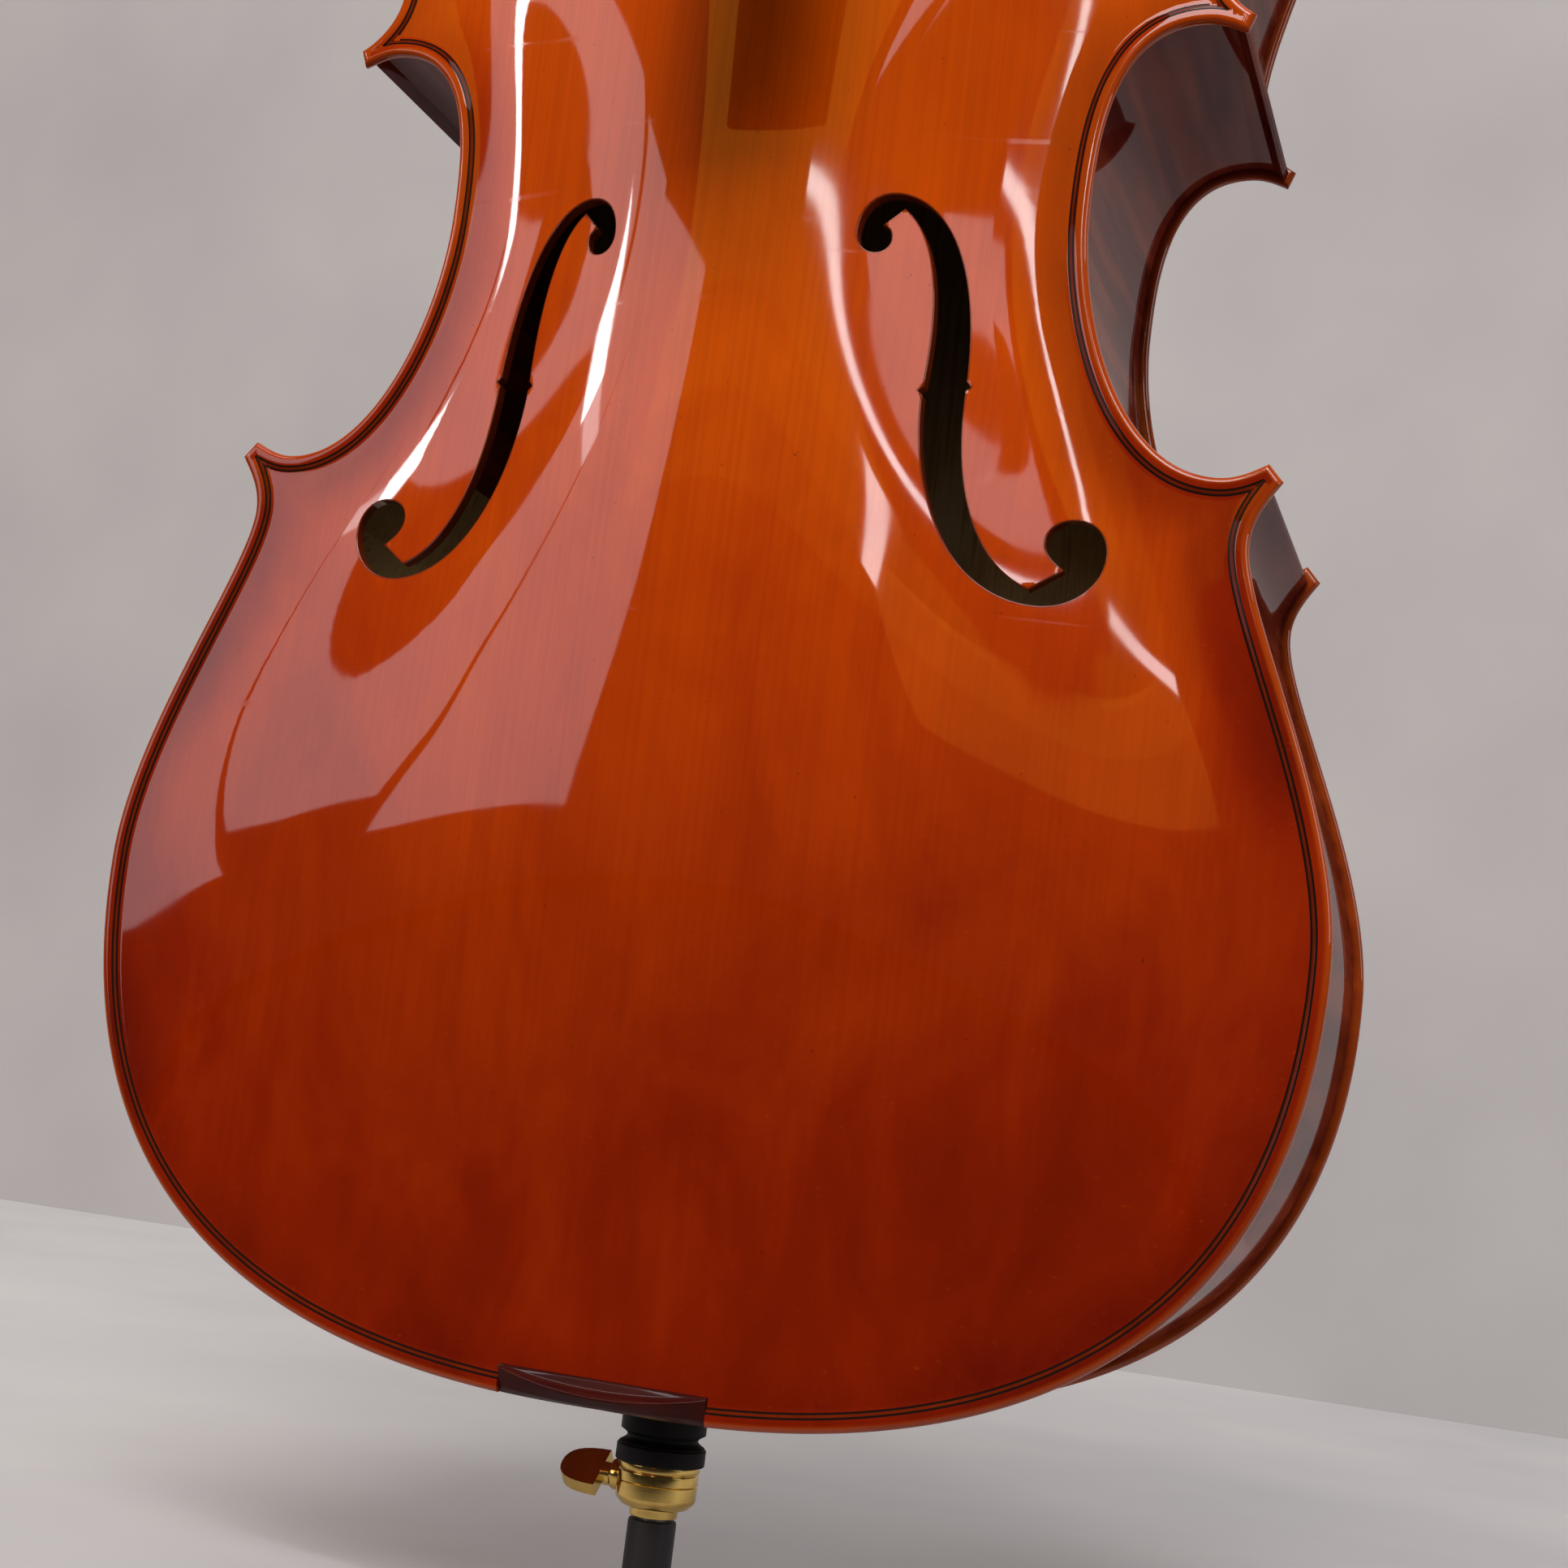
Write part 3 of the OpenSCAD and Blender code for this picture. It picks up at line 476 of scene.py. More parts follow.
def spruce_varnish():
    """Orange varnish on spruce, browner towards the edges, with painted shade that browns it low down and
    near the edges of the waist.
    """
    n = Nodes("belly_varnish")
    x, y, z = n.axes()
    # depth of colour: 0 is golden orange, 1 is red brown
    # painted shade: the colour grows browner from the middle of the body down towards its bottom, standing in
    # for the light that falls from above
    low = n.range(z, 0.52, 0.08)
    side = n.range(n.math("ABSOLUTE", x), 0.02, 0.24)
    big = n.noise(n.scaled(7, 7, 4.5), 1.0, 4.0, 0.6, 0.6)
    cloud = n.noise(n.scaled(22, 22, 9, (3, 0, 1)), 1.0, 5.0, 0.62, 0.8)
    depth = n.add(n.times(low, 0.72), n.times(side, 0.12))
    depth = n.add(depth, n.times(n.math("SUBTRACT", big, 0.5), 0.75))
    depth = n.add(depth, n.times(n.math("SUBTRACT", cloud, 0.5), 0.55))
    near_edge = n.range(n.attribute("edge"), 26.0, 6.0)
    # painted shade: browner within about 34 mm of the edge along the waist, where the light falls off
    painted_waist_shade = n.times(n.range(z, 0.26, 0.33), n.range(z, 0.62, 0.52))
    painted_waist_shade = n.times(painted_waist_shade, n.range(n.attribute("edge"), 34.0, 8.0))
    depth = n.add(depth, n.times(painted_waist_shade, 0.34))
    depth = n.add(depth, n.times(near_edge, 0.12), clamp=True)
    base = n.ramp(depth, (0.0, (0.64, 0.080, 0.0004)), (0.33, (0.47, 0.043, 0.0003)),
                  (0.68, (0.275, 0.0150, 0.0002)), (1.0, (0.135, 0.0055, 0.0002)))
    # growth rings run along the body
    ring = n.noise(n.scaled(560, 2, 3.2), 1.0, 2.0, 0.5, 0.15)
    fine = n.noise(n.scaled(2600, 20, 16), 1.0, 2.0, 0.6)
    grain = n.add(n.times(n.range(ring, 0.40, 0.66), 0.75), n.times(fine, 0.3))
    base = n.mix(n.times(grain, 0.16), base, (0.20, 0.012, 0.001))
    # flecks across the rings and tiny pits
    fleck = n.noise(n.scaled(300, 60, 900, (5, 2, 7)), 1.0, 3.0, 0.5)
    base = n.mix(n.range(fleck, 0.64, 0.78, 0.0, 0.14), base, (0.62, 0.11, 0.006))
    pits = n.noise(n.scaled(420, 420, 420, (1, 9, 4)), 1.0, 2.0, 0.5)
    base = n.mix(n.range(pits, 0.735, 0.79, 0.0, 0.55), base, (0.09, 0.006, 0.001))
    # colour worn thin on the rounded edge
    worn = n.times(n.range(n.attribute("edge"), 3.0, 0.7), n.range(cloud, 0.25, 0.6, 0.45, 1.0))
    base = n.mix(n.times(worn, 0.55), base, (0.62, 0.105, 0.008))
    # the raw rims of the f-holes are stained dark
    hole = n.range(n.attribute("hole"), 0.9, 0.25)
    base = n.mix(n.times(hole, 0.75), base, (0.10, 0.012, 0.003))
    n.feed(Base_Color=base)
    # long slanting scratches
    slanted = n.node("ShaderNodeMapping")
    n.fill(slanted, Rotation=(0, math.radians(38), 0), Scale=(5, 40, 260))
    n.link(n.coord, slanted.inputs["Vector"])
    scratch = n.range(n.noise(slanted.outputs["Vector"], 1.0, 2.0, 0.5), 0.68, 0.74)
    n.feed(Roughness=n.add(0.33, n.times(scratch, 0.12)))
    n.feed(Coat_Roughness=n.add(n.range(cloud, 0.3, 0.8, 0.018, 0.05), n.times(scratch, 0.05)))
    n.set(Specular_IOR_Level=0.0, Coat_Weight=1.0, Coat_IOR=1.5)
    n.bump(grain, 0.10, 0.0002)
    # the clear coat has sunk a little into the grain
    n.bump(sunk_coat(n), 0.30, 0.0006, into="Coat Normal")
    return n.mat


def flamed_maple(name, dark, mid, light, along="z", strength=0.6, coat=1.0, rim=0.0):
    """Glossy maple with flame across its grain. along names the way the grain of the piece runs."""
    n = Nodes(name)
    flame_way = {"z": (10, 26, 120), "rib": (90, 9, 90)}[along]
    pore_way = {"z": (900, 900, 40), "rib": (120, 1100, 120)}[along]
    wave = n.noise(n.scaled(*flame_way), 1.0, 1.0, 0.5, 0.5)
    wide = n.noise(n.scaled(9, 9, 12, (2, 5, 1)), 1.0, 3.0, 0.5)
    pores = n.noise(n.scaled(*pore_way), 1.0, 3.0, 0.6)
    f = n.add(n.times(wave, strength), n.times(wide, 1 - strength))
    col = n.ramp(f, (0.34, dark), (0.5, mid), (0.66, light))
    col = n.mix(n.range(pores, 0.52, 0.72, 0.0, 0.4), col, dark)
    blot = n.noise(n.scaled(30, 30, 22, (4, 4, 4)), 1.0, 4.0, 0.6)
    col = n.mix(n.range(blot, 0.55, 0.8, 0.0, 0.3), col, tuple(c * 0.7 for c in dark))
    if rim:
        # the rounded edge is rubbed thinner and reads lighter
        col = n.mix(n.range(n.attribute("edge"), 4.0, 1.6, 0.0, rim), col, (0.36, 0.060, 0.007))
    n.feed(Base_Color=col, Roughness=n.range(blot, 0.3, 0.8, 0.30, 0.42),
           Coat_Roughness=n.range(wide, 0.3, 0.8, 0.02, 0.06))
    n.set(Specular_IOR_Level=0.0, Coat_Weight=coat, Coat_IOR=1.5)
    n.bump(pores, 0.08, 0.0002)
    swell = n.noise(n.scaled(34, 34, 22, (6, 1, 3)), 1.0, 0.0, 0.45)
    n.bump(swell, 0.14, 0.0007, into="Coat Normal")
    return n.mat


def bare_wood():
    """Unvarnished spruce, for what is inside the body."""
    n = Nodes("bare_spruce")
    ring = n.noise(n.scaled(420, 300, 5), 1.0, 2.0, 0.5, 0.2)
    cloud = n.noise(n.scaled(12, 12, 9), 1.0, 4.0, 0.6)
    col = n.ramp(ring, (0.30, (0.50, 0.37, 0.18)), (0.55, (0.62, 0.49, 0.28)), (0.72, (0.40, 0.26, 0.11)))
    col = n.mix(n.range(cloud, 0.35, 0.8, 0.0, 0.5), col, (0.36, 0.26, 0.13))
    n.feed(Base_Color=col, Roughness=n.range(cloud, 0.3, 0.8, 0.62, 0.82))
    n.bump(ring, 0.25, 0.0004)
    return n.mat


def purfling_mat():
    """Two black lines with a brown one between them, set by the distance from the plate's edge in mm."""
    n = Nodes("purfling")
    d = n.attribute("edge")
    black = (0.014, 0.007, 0.005)
    inner = n.times(n.range(d, 4.96, 5.06, smooth=False), n.range(d, 5.94, 5.84, smooth=False))
    stain = n.noise(n.scaled(60, 60, 60), 1.0, 3.0, 0.6)
    brown = n.ramp(stain, (0.3, (0.11, 0.010, 0.002)), (0.7, (0.18, 0.018, 0.003)))
    n.feed(Base_Color=n.mix(inner, black, brown), Roughness=n.range(stain, 0.3, 0.7, 0.34, 0.42))
    n.set(Specular_IOR_Level=0.0, Coat_Weight=0.15, Coat_Roughness=0.04, Coat_IOR=1.5)
    n.bump(stain, 0.06, 0.0002)
    n.bump(sunk_coat(n), 0.30, 0.0006, into="Coat Normal")
    return n.mat


def ebony(name, base, light, coat, rough, grain=(700, 700, 18), shine=0.3):
    """Dark close-grained wood."""
    n = Nodes(name)
    fibre = n.noise(n.scaled(*grain), 1.0, 3.0, 0.6, 0.1)
    cloud = n.noise(n.scaled(22, 22, 22, (3, 3, 3)), 1.0, 3.0, 0.6)
    f = n.add(n.times(fibre, 0.6), n.times(cloud, 0.4))
    n.feed(Base_Color=n.ramp(f, (0.38, base), (0.68, light)))
    n.feed(Roughness=n.range(fibre, 0.3, 0.7, rough, rough + 0.12))
    n.set(Specular_IOR_Level=shine, Coat_Weight=coat, Coat_Roughness=0.05)
    n.bump(fibre, 0.12, 0.0001)
    return n.mat


def metal(name, tint, dull, rough, brushed):
    """Metal with a faint tarnish and fine brushed lines."""
    n = Nodes(name)
    cloud = n.noise(n.scaled(160, 160, 160), 1.0, 4.0, 0.6)
    lines = n.noise(n.scaled(*brushed), 1.0, 2.0, 0.5)
    n.feed(Base_Color=n.mix(n.range(cloud, 0.45, 0.8, 0.0, 0.45), tint, dull))
    n.feed(Roughness=n.add(n.range(cloud, 0.3, 0.8, rough, rough + 0.12), n.times(lines, 0.06)))
    n.set(Metallic=1.0)
    n.bump(lines, 0.06, 0.0001)
    return n.mat


def matte(name, base, light, rough, bump, shine=0.5):
    """Black plastic or rubber with a little dust."""
    n = Nodes(name)
    speck = n.noise(n.scaled(1400, 1400, 1400), 1.0, 3.0, 0.6)
    dust = n.noise(n.scaled(60, 60, 60, (1, 2, 3)), 1.0, 4.0, 0.65)
    n.feed(Base_Color=n.mix(n.range(dust, 0.45, 0.8, 0.0, 0.6), base, light))
    n.feed(Roughness=n.range(dust, 0.3, 0.8, rough, rough + 0.15))
    n.set(Specular_IOR_Level=shine)
    n.bump(speck, bump, 0.0003)
    return n.mat


MAPLE_TONES = ((0.115, 0.010, 0.003), (0.24, 0.028, 0.004), (0.37, 0.056, 0.006))
RIB_TONES = ((0.080, 0.009, 0.006), (0.15, 0.020, 0.011), (0.26, 0.042, 0.018))
BELLY = spruce_varnish()
MAPLE = flamed_maple("maple_varnish", *MAPLE_TONES)
BACK = flamed_maple("back_varnish", *MAPLE_TONES, rim=0.6)
RIB = flamed_maple("rib_varnish", *RIB_TONES, along="rib", strength=0.7, coat=0.45)
BARE = bare_wood()
PURFLING = purfling_mat()
EBONY = ebony("ebony", (0.010, 0.008, 0.008), (0.030, 0.022, 0.019), 0.25, 0.28)
SADDLE = ebony("saddle", (0.034, 0.003, 0.002), (0.066, 0.007, 0.003), 0.2, 0.3, (14, 500, 500), 0.05)
BRASS = metal("brass", (0.72, 0.50, 0.15), (0.46, 0.28, 0.07), 0.07, (60, 60, 1200))
STEEL = metal("rod_steel", (0.55, 0.55, 0.57), (0.35, 0.35, 0.36), 0.22, (60, 60, 1500))
PLUG = matte("plug", (0.003, 0.003, 0.003), (0.011, 0.010, 0.010), 0.50, 0.10, 0.2)
RUBBER = matte("rubber", (0.006, 0.006, 0.007), (0.022, 0.021, 0.021), 0.50, 0.16)

# -------- plates

# distances from the edge at which the mesh has a line of points, with the purfling's four sides among them
PURF_LINES = (4.3, 5.0, 5.9, 6.6)
EDGE_LINES = (0, 0.1, 0.35, 0.75, 1.3, 2.2, 3.2, *PURF_LINES, 8.2, 10.5, 13.5)
COARSE_FROM = 7
HOLE_LINES = (0.12, 0.4, 1.2)
HOLE_ROUND = 0.4
MESH_STEP = 6.0
CUT_STEP = 1.5
AT_EDGE = 0.02
# cut out of the belly for the saddle and for the foot of the neck
SADDLE_CUT, NECK_CUT = (-37, -6, 37, 10), (-23.0, 741, 23.0, 762)


def in_box(pts, box):
    x0, z0, x1, z1 = box
    return (pts[:, 0] > x0) & (pts[:, 0] < x1) & (pts[:, 1] > z0) & (pts[:, 1] < z1)


def plan_triangles(loop, normals, holes, cuts):
    """The plate's plan in triangles: points, corner indices and signed areas."""
    points, edges = [], []

    def add_line(pts, closed=True):
        start = sum(len(p) for p in points)
        points.append(pts)
        n = len(pts)
        edges.extend((start + i, start + (i + 1) % n) for i in range(n if closed else n - 1))

    for d in EDGE_LINES:
        pts = offset_loop(loop, normals, d)
        add_line(pts[::2] if d > COARSE_FROM else pts)
    for hole in holes:
        hole_normals = loop_normals(hole)
        add_line(hole)
        for d in HOLE_LINES:
            ring = hole + hole_normals * d
            clear = nearest(ring, hole)[0] > d - 0.06
            points.append(ring[clear & ~inside(ring, hole)])
    for x0, z0, x1, z1 in cuts:
        corners = np.array([[x0, z0], [x0, z1], [x1, z1], [x1, z0]], float)
        # split, so that the surface follows the bead along the cut
        line = [corners[0]]
        for a, b in zip(corners[:-1], corners[1:]):
            m = max(2, int(np.linalg.norm(b - a) / CUT_STEP))
            line += [a + (b - a) * (i / m) for i in range(1, m + 1)]
        add_line(np.array(line), closed=False)
    gx, gz = np.meshgrid(np.arange(-222, 223, MESH_STEP), np.arange(6, 752, MESH_STEP))
    grid = np.stack([gx.ravel(), gz.ravel()], 1)
    grid = grid[inside(grid, loop)]
    far = nearest(grid, loop)[0] > EDGE_LINES[-1] + MESH_STEP / 2
    for hole in holes:
        far &= nearest(grid, hole)[0] > 2.6
    points.append(grid[far])

    flat = [Vector((float(a), float(b))) for a, b in np.vstack(points)]
    out = delaunay_2d_cdt(flat, edges, [], 0, 1e-4)
    v, tri = np.array([(p.x, p.y) for p in out[0]]), np.array(out[2])
    middle = v[tri].mean(1)
    keep = inside(middle, loop)
    for hole in holes:
        keep &= ~inside(middle, hole)
    for box in cuts:
        keep &= ~in_box(middle, box)
    area = np.cross(v[tri[:, 1]] - v[tri[:, 0]], v[tri[:, 2]] - v[tri[:, 0]])
    keep &= np.abs(area) > 1e-7
    tri = tri[keep]
    used = np.unique(tri)
    new_index = -np.ones(len(v), int)
    new_index[used] = np.arange(len(used))
    return v[used], new_index[tri], area[keep]


def unit(v):
    return v / (np.linalg.norm(v, axis=1)[:, None] + 1e-9)


def plate_surface(v, loop, normals, holes, rise):
    """Heights of both faces over the plan's points, with what the normals need."""
    d, foot = nearest(v, loop)
    outward = unit(foot - v)
    on_edge = d < AT_EDGE
    closest = ((v[on_edge][:, None] - loop[None]) ** 2).sum(2).argmin(1)
    outward[on_edge] = normals[closest]
    height, slope = bead(d)
    arch_height, slope_x, slope_z = sample(smooth_grid(rise, 0.0), v[:, 0], v[:, 1])
    fade = np.clip(d / CHANNEL_RUN, 0, 1)
    top = height + arch_height * fade
    grad = -outward * slope[:, None] + np.stack([slope_x, slope_z], 1) * fade[:, None]
    hole_d = np.full(len(v), 9.0)
    for hole in holes:
        e, hole_foot = nearest(v, hole)
        s = np.clip(1 - e / HOLE_ROUND, 0, 1)
        top = top - HOLE_ROUND * (1 - np.sqrt(np.maximum(1 - s * s, 0)))
        steep = s / np.sqrt(np.maximum(1 - s * s, 0.02))
        grad = grad + unit(v - hole_foot) * (steep * (e < HOLE_ROUND + 0.02) * (e > 0.01))[:, None]
        hole_d = np.minimum(hole_d, e)
    # the inner face keeps the wood's thickness under the arch
    under_arch = sample(smooth_grid(rise - 0.9, 6.0), v[:, 0], v[:, 1])[0]
    low = underside(d) + under_arch * np.clip((d - CHANNEL_RUN) / CHANNEL_RUN, 0, 1)
    low = np.minimum(low, top - 0.6 * (d > 0.05))
    return d, outward, top, low, grad, hole_d


def open_sides(tris):
    """Directed sides of triangles that no neighbour shares."""
    sides = {}
    for f in tris:
        for a, b in ((f[0], f[1]), (f[1], f[2]), (f[2], f[0])):
            sides[(a, b)] = True
    return [(a, b) for a, b in sides if (b, a) not in sides]


def face_normal(corners):
    n = np.cross(corners[1] - corners[0], corners[2] - corners[0])
    return n / (np.linalg.norm(n) + 1e-15)


def plate(name, side, loop, holes, cuts, rise, look, node, purfling_name, purfling_node):
    """A carved plate with rounded edge, channel, arch and holes, and its purfling. side is 1 at the back."""
    normals = loop_normals(loop)
    v, tri, area = plan_triangles(loop, normals, holes, cuts)
    d, outward, top, low, grad, hole_d = plate_surface(v, loop, normals, holes, rise)
    n = len(v)
    outer = np.stack([v[:, 0], side * (HALF_RIB + top), v[:, 1]], 1)
    inner = np.stack([v[:, 0], side * (HALF_RIB + low), v[:, 1]], 1)
    # both faces share the points of the plate's very edge
    on_edge = d < AT_EDGE
    inner_index = np.arange(n)
    inner_index[~on_edge] = n + np.arange((~on_edge).sum())
    verts = np.vstack([outer, inner[~on_edge]])
    verts[:n][on_edge] = (outer[on_edge] + inner[on_edge]) / 2
    outer_normals = np.stack([-grad[:, 0], np.full(n, side), -grad[:, 1]], 1)
    outer_normals /= np.linalg.norm(outer_normals, axis=1)[:, None]
    lean = np.clip(1 - d / ROUND_UNDER, 0, 1)
    upright = np.where(d < ROUND_UNDER, np.sqrt(1 - lean**2 + 1e-9), 1.0)
    inner_normals = np.stack([outward[:, 0] * lean, -side * upright, outward[:, 1] * lean], 1)

    # the outer face is wound to look away from the ribs
    flip = area * side > 0
    tri[flip] = tri[flip][:, ::-1]
    faces = [tuple(f) for f in tri]
    norms = [outer_normals[i] for f in tri for i in f]
    for f in tri[:, ::-1]:
        inner_face = inner_index[f]
        if len(set(inner_face)) == 3:
            faces.append(tuple(inner_face))
            norms.extend(inner_normals[i] for i in f)
    # walls of the holes and cuts
    for a, b in open_sides(tri):
        if on_edge[a] and on_edge[b]:
            continue
        wall = [b, a, inner_index[a], inner_index[b]]
        wall = [q for i, q in enumerate(wall) if q not in wall[:i]]
        if len(wall) < 3:
            continue
        faces.append(tuple(wall))
        norms.extend([face_normal(verts[wall])] * len(wall))
    ob = new_object(name, verts * MM + [0, 0, BASE], faces, norms)
    edge_d = np.concatenate([d, d[~on_edge]])
    set_attr(ob, "edge", edge_d)
    set_attr(ob, "hole", np.concatenate([hole_d, np.where(hole_d[~on_edge] < 0.6, 0.0, 9.0)]))
    place(ob, "body", look[0], look[1], node)
    # the inner face is bare wood
    ob.data.materials.append(BARE)
    bare = [i >= len(tri) and all(q >= n and edge_d[q] > 5 for q in f) for i, f in enumerate(faces)]
    ob.data.polygons.foreach_set("material_index", np.array(bare, np.int32))
    purfling(purfling_name, side, outer, outer_normals, d, tri, purfling_node)


def purfling(name, side, outer, normals, d, tri, node):
    """The strip let into the plate, cut from the plate's own triangles."""
    proud, deep = 0.03, 1.2
    slack = 0.08
    reach = d[tri]
    between = (reach.mean(1) > PURF_LINES[0]) & (reach.mean(1) < PURF_LINES[-1])
    between &= (reach.min(1) > PURF_LINES[0] - slack) & (reach.max(1) < PURF_LINES[-1] + slack)
    used, strip = np.unique(tri[between], return_inverse=True)
    strip = strip.reshape(-1, 3)
    n = len(used)
    normals = normals[used]
    up = outer[used] + np.array([0, side * proud, 0])
    down = outer[used] - np.array([0, side * deep, 0])
    verts = np.vstack([up, down]) * MM + [0, 0, BASE]
    faces = [tuple(f) for f in strip] + [tuple(f[::-1] + n) for f in strip]
    norms = [normals[i] for f in strip for i in f] + [-normals[i] for f in strip for i in f[::-1]]
    for a, b in open_sides(strip):
        wall = (b, a, a + n, b + n)
        faces.append(wall)
        norms.extend([face_normal(verts[list(wall)])] * 4)
    ob = new_object(name, verts, faces, norms)
    set_attr(ob, "edge", np.concatenate([d[used], d[used]]))
    place(ob, "body", "purfling", PURFLING, node)


def button_outline():
    """The back's outline, with the round button at its top."""
    radius = 15.0
    half = half_outline()
    k = [i for i, p in enumerate(half) if p[1] > 700 and p[0] < radius][0]
    a, b = half[k - 1], half[k]
    join = a + (radius - a[0]) / (b[0] - a[0]) * (b - a)
    turn = np.linspace(math.asin(max(-1, (join[1] - BODY_LEN) / radius)), math.pi / 2, 15)
    arc = np.stack([radius * np.cos(turn), BODY_LEN + radius * np.sin(turn)], 1)
    return mirrored(np.vstack([half[:k], arc]))


plate("belly", -1.0, EDGE, [F_RIGHT, F_LEFT], [SADDLE_CUT, NECK_CUT], 24.0,
      ("belly_varnish", BELLY), "top_plate", "purfling_front", "purfling_belly")
plate("back", 1.0, button_outline(), [], [], 23.0,
      ("maple_varnish", BACK), "back_plate", "purfling_rear", "purfling_back")

# -------- ribs


def rib_lines():
    """Each rib's name and its outer line, anticlockwise from the bottom."""
    outer = offset_loop(EDGE, EDGE_NORMALS, OVERHANG)
    # bottom, four corner tips and top
    ends = [(0, OVERHANG), (190, 323), (168, 478), (0, BODY_LEN - OVERHANG), (-168, 478), (-190, 323)]
    cuts = [int(((outer - p) ** 2).sum(1).argmin()) for p in ends]
    names = ("lower_right", "center_right", "upper_right", "upper_left", "center_left", "lower_left")
    n = len(outer)
    for name, a, b in zip(names, cuts, cuts[1:] + cuts[:1]):
        line = outer[[(a + i) % n for i in range(((b - a) % n) + 1)]]
        if "upper" in name:
            # the upper ribs stop at the foot of the neck
            line = line[np.abs(line[:, 0]) >= 19]
        yield "rib_" + name, line


def rib_sheet(name, line):
    """A rib as a bent sheet behind its outer line."""
    along = np.gradient(line, axis=0)
    along /= np.linalg.norm(along, axis=1)[:, None]
    out = np.stack([along[:, 1], -along[:, 0]], 1)
    levels = (-HALF_RIB + 0.02, 0.0, HALF_RIB - 0.02)
    m = len(line)
    verts = [(x, y, z) for skin in (line, line - out * RIB_THICK) for y in levels for x, z in skin]
    faces, norms = [], []

    def at(skin, level, i):
        return (skin * len(levels) + level) * m + i

    def quad(corners, corner_norms, turned=False):
        faces.append(tuple(corners if turned else corners[::-1]))
        norms.extend(corner_norms if turned else corner_norms[::-1])

    for j in range(len(levels) - 1):
        for i in range(m - 1):
            a, b = [(out[q][0], 0, out[q][1]) for q in (i, i + 1)]
            quad((at(0, j, i), at(0, j, i + 1), at(0, j + 1, i + 1), at(0, j + 1, i)), (a, b, b, a))
            a, b = [(-out[q][0], 0, -out[q][1]) for q in (i, i + 1)]
            quad((at(1, j, i), at(1, j + 1, i), at(1, j + 1, i + 1), at(1, j, i + 1)), (a, a, b, b))
    for j, way in ((0, -1), (len(levels) - 1, 1)):
        for i in range(m - 1):
            quad((at(0, j, i), at(0, j, i + 1), at(1, j, i + 1), at(1, j, i)), [(0, way, 0)] * 4, way < 0)
    for i, way in ((0, -1), (m - 1, 1)):
        end = (along[i][0] * way, 0, along[i][1] * way)
        for j in range(len(levels) - 1):
            quad((at(0, j, i), at(0, j + 1, i), at(1, j + 1, i), at(1, j, i)), [end] * 4, way > 0)
    ob = new_object("bent_" + name, np.array(verts) * MM + [0, 0, BASE], faces, norms)
    place(ob, "body", "maple_varnish", RIB, name)


for rib_name, rib_line in rib_lines():
    rib_sheet(rib_name, rib_line)

# -------- saddle


def soft_corners(pts, r=0.5, n=4):
    """Rounds the corners of an open profile, between its first and its last point."""
    out = [pts[0]]
    for a, b, c in zip(pts[:-2], pts[1:-1], pts[2:]):
        a, b, c = (np.array(q, float) for q in (a, b, c))
        la, lc = np.linalg.norm(a - b), np.linalg.norm(c - b)
        k = min(r, la / 2.2, lc / 2.2)
        p, q = b + (a - b) / la * k, b + (c - b) / lc * k
        for i in range(n + 1):
            t = i / n
            out.append(tuple((1 - t) ** 2 * p + 2 * t * (1 - t) * b + t * t * q))
    out.append(pts[-1])
    return out


def saddle_piece():
    """The saddle, carved to a ridge that dips towards the edge in the middle."""
    count, half_len, top_z, rear = 60, 36.9, 9.95, 4.6
    half = half_outline()[:60]
    verts, faces = [], []
    for x in np.linspace(-half_len, half_len, count):
        edge_z = float(np.interp(abs(x), half[:, 0], half[:, 1])) + 0.1
        ridge = 4.2 + 5.0 * (x / 37) ** 2
        crest = 4.9 + 4.4 * max(0.0, 1 - (x / 37.6) ** 2) ** 0.75
        profile = [(edge_z, 0.0), (edge_z, 1.2), (edge_z + 0.25 * (ridge - edge_z), 0.62 * crest),
                   (ridge, crest), (ridge + 0.4 * (top_z - ridge), crest - 0.58 * (crest - rear)),
                   (top_z, rear), (top_z, 0.0)]
        section = soft_corners(profile, 0.8, 4)
        verts += [(x, -(HALF_RIB + h), z) for z, h in section]
    m = len(section)
    for i in range(count - 1):
        for j in range(m):
            a, b = i * m + j, i * m + (j + 1) % m
            faces.append((a, a + m, b + m, b))
    faces.append(tuple(range(m)))
    faces.append(tuple((count - 1) * m + j for j in range(m))[::-1])
    ob = new_object("saddle_carved", np.array(verts) * MM + [0, 0, BASE], faces, sharp=50)
    place(ob, "body", "saddle", SADDLE, "saddle")


saddle_piece()

# -------- endpin

# the body's bottom edge over the floor, from which the endpin's heights are taken, and the bore round the rod
BODY_Z = BASE / MM
BORE, ROD = 5.06, 4.98
SCREW_Z = BODY_Z - 28.5


def ring_faces(rings, seg, closed):
    """Quads between rings of points that follow each other."""
    faces = []
    for i in range(rings if closed else rings - 1):
        j = (i + 1) % rings
        for k in range(seg):
            m = (k + 1) % seg
            faces.append((i * seg + k, i * seg + m, j * seg + m, j * seg + k))
    return faces


def lathe(name, profile, seg=96, lift=0.0, bore=None):
    """Closed turned solid round Z from (radius, height) points, bottom to top, in mm."""
    if bore:
        profile = [(bore, profile[0][1])] + profile + [(bore, profile[-1][1])]
    rings = len(profile)
    verts = []
    for r, z in profile:
        for k in range(seg):
            a = 2 * math.pi * k / seg
            verts.append((r * math.cos(a), r * math.sin(a), lift + z))
    faces = ring_faces(rings, seg, bool(bore))
    if not bore:
        faces.append(tuple(range(seg))[::-1])
        faces.append(tuple((rings - 1) * seg + k for k in range(seg)))
    return new_object(name, np.array(verts) * MM, faces, sharp=38)


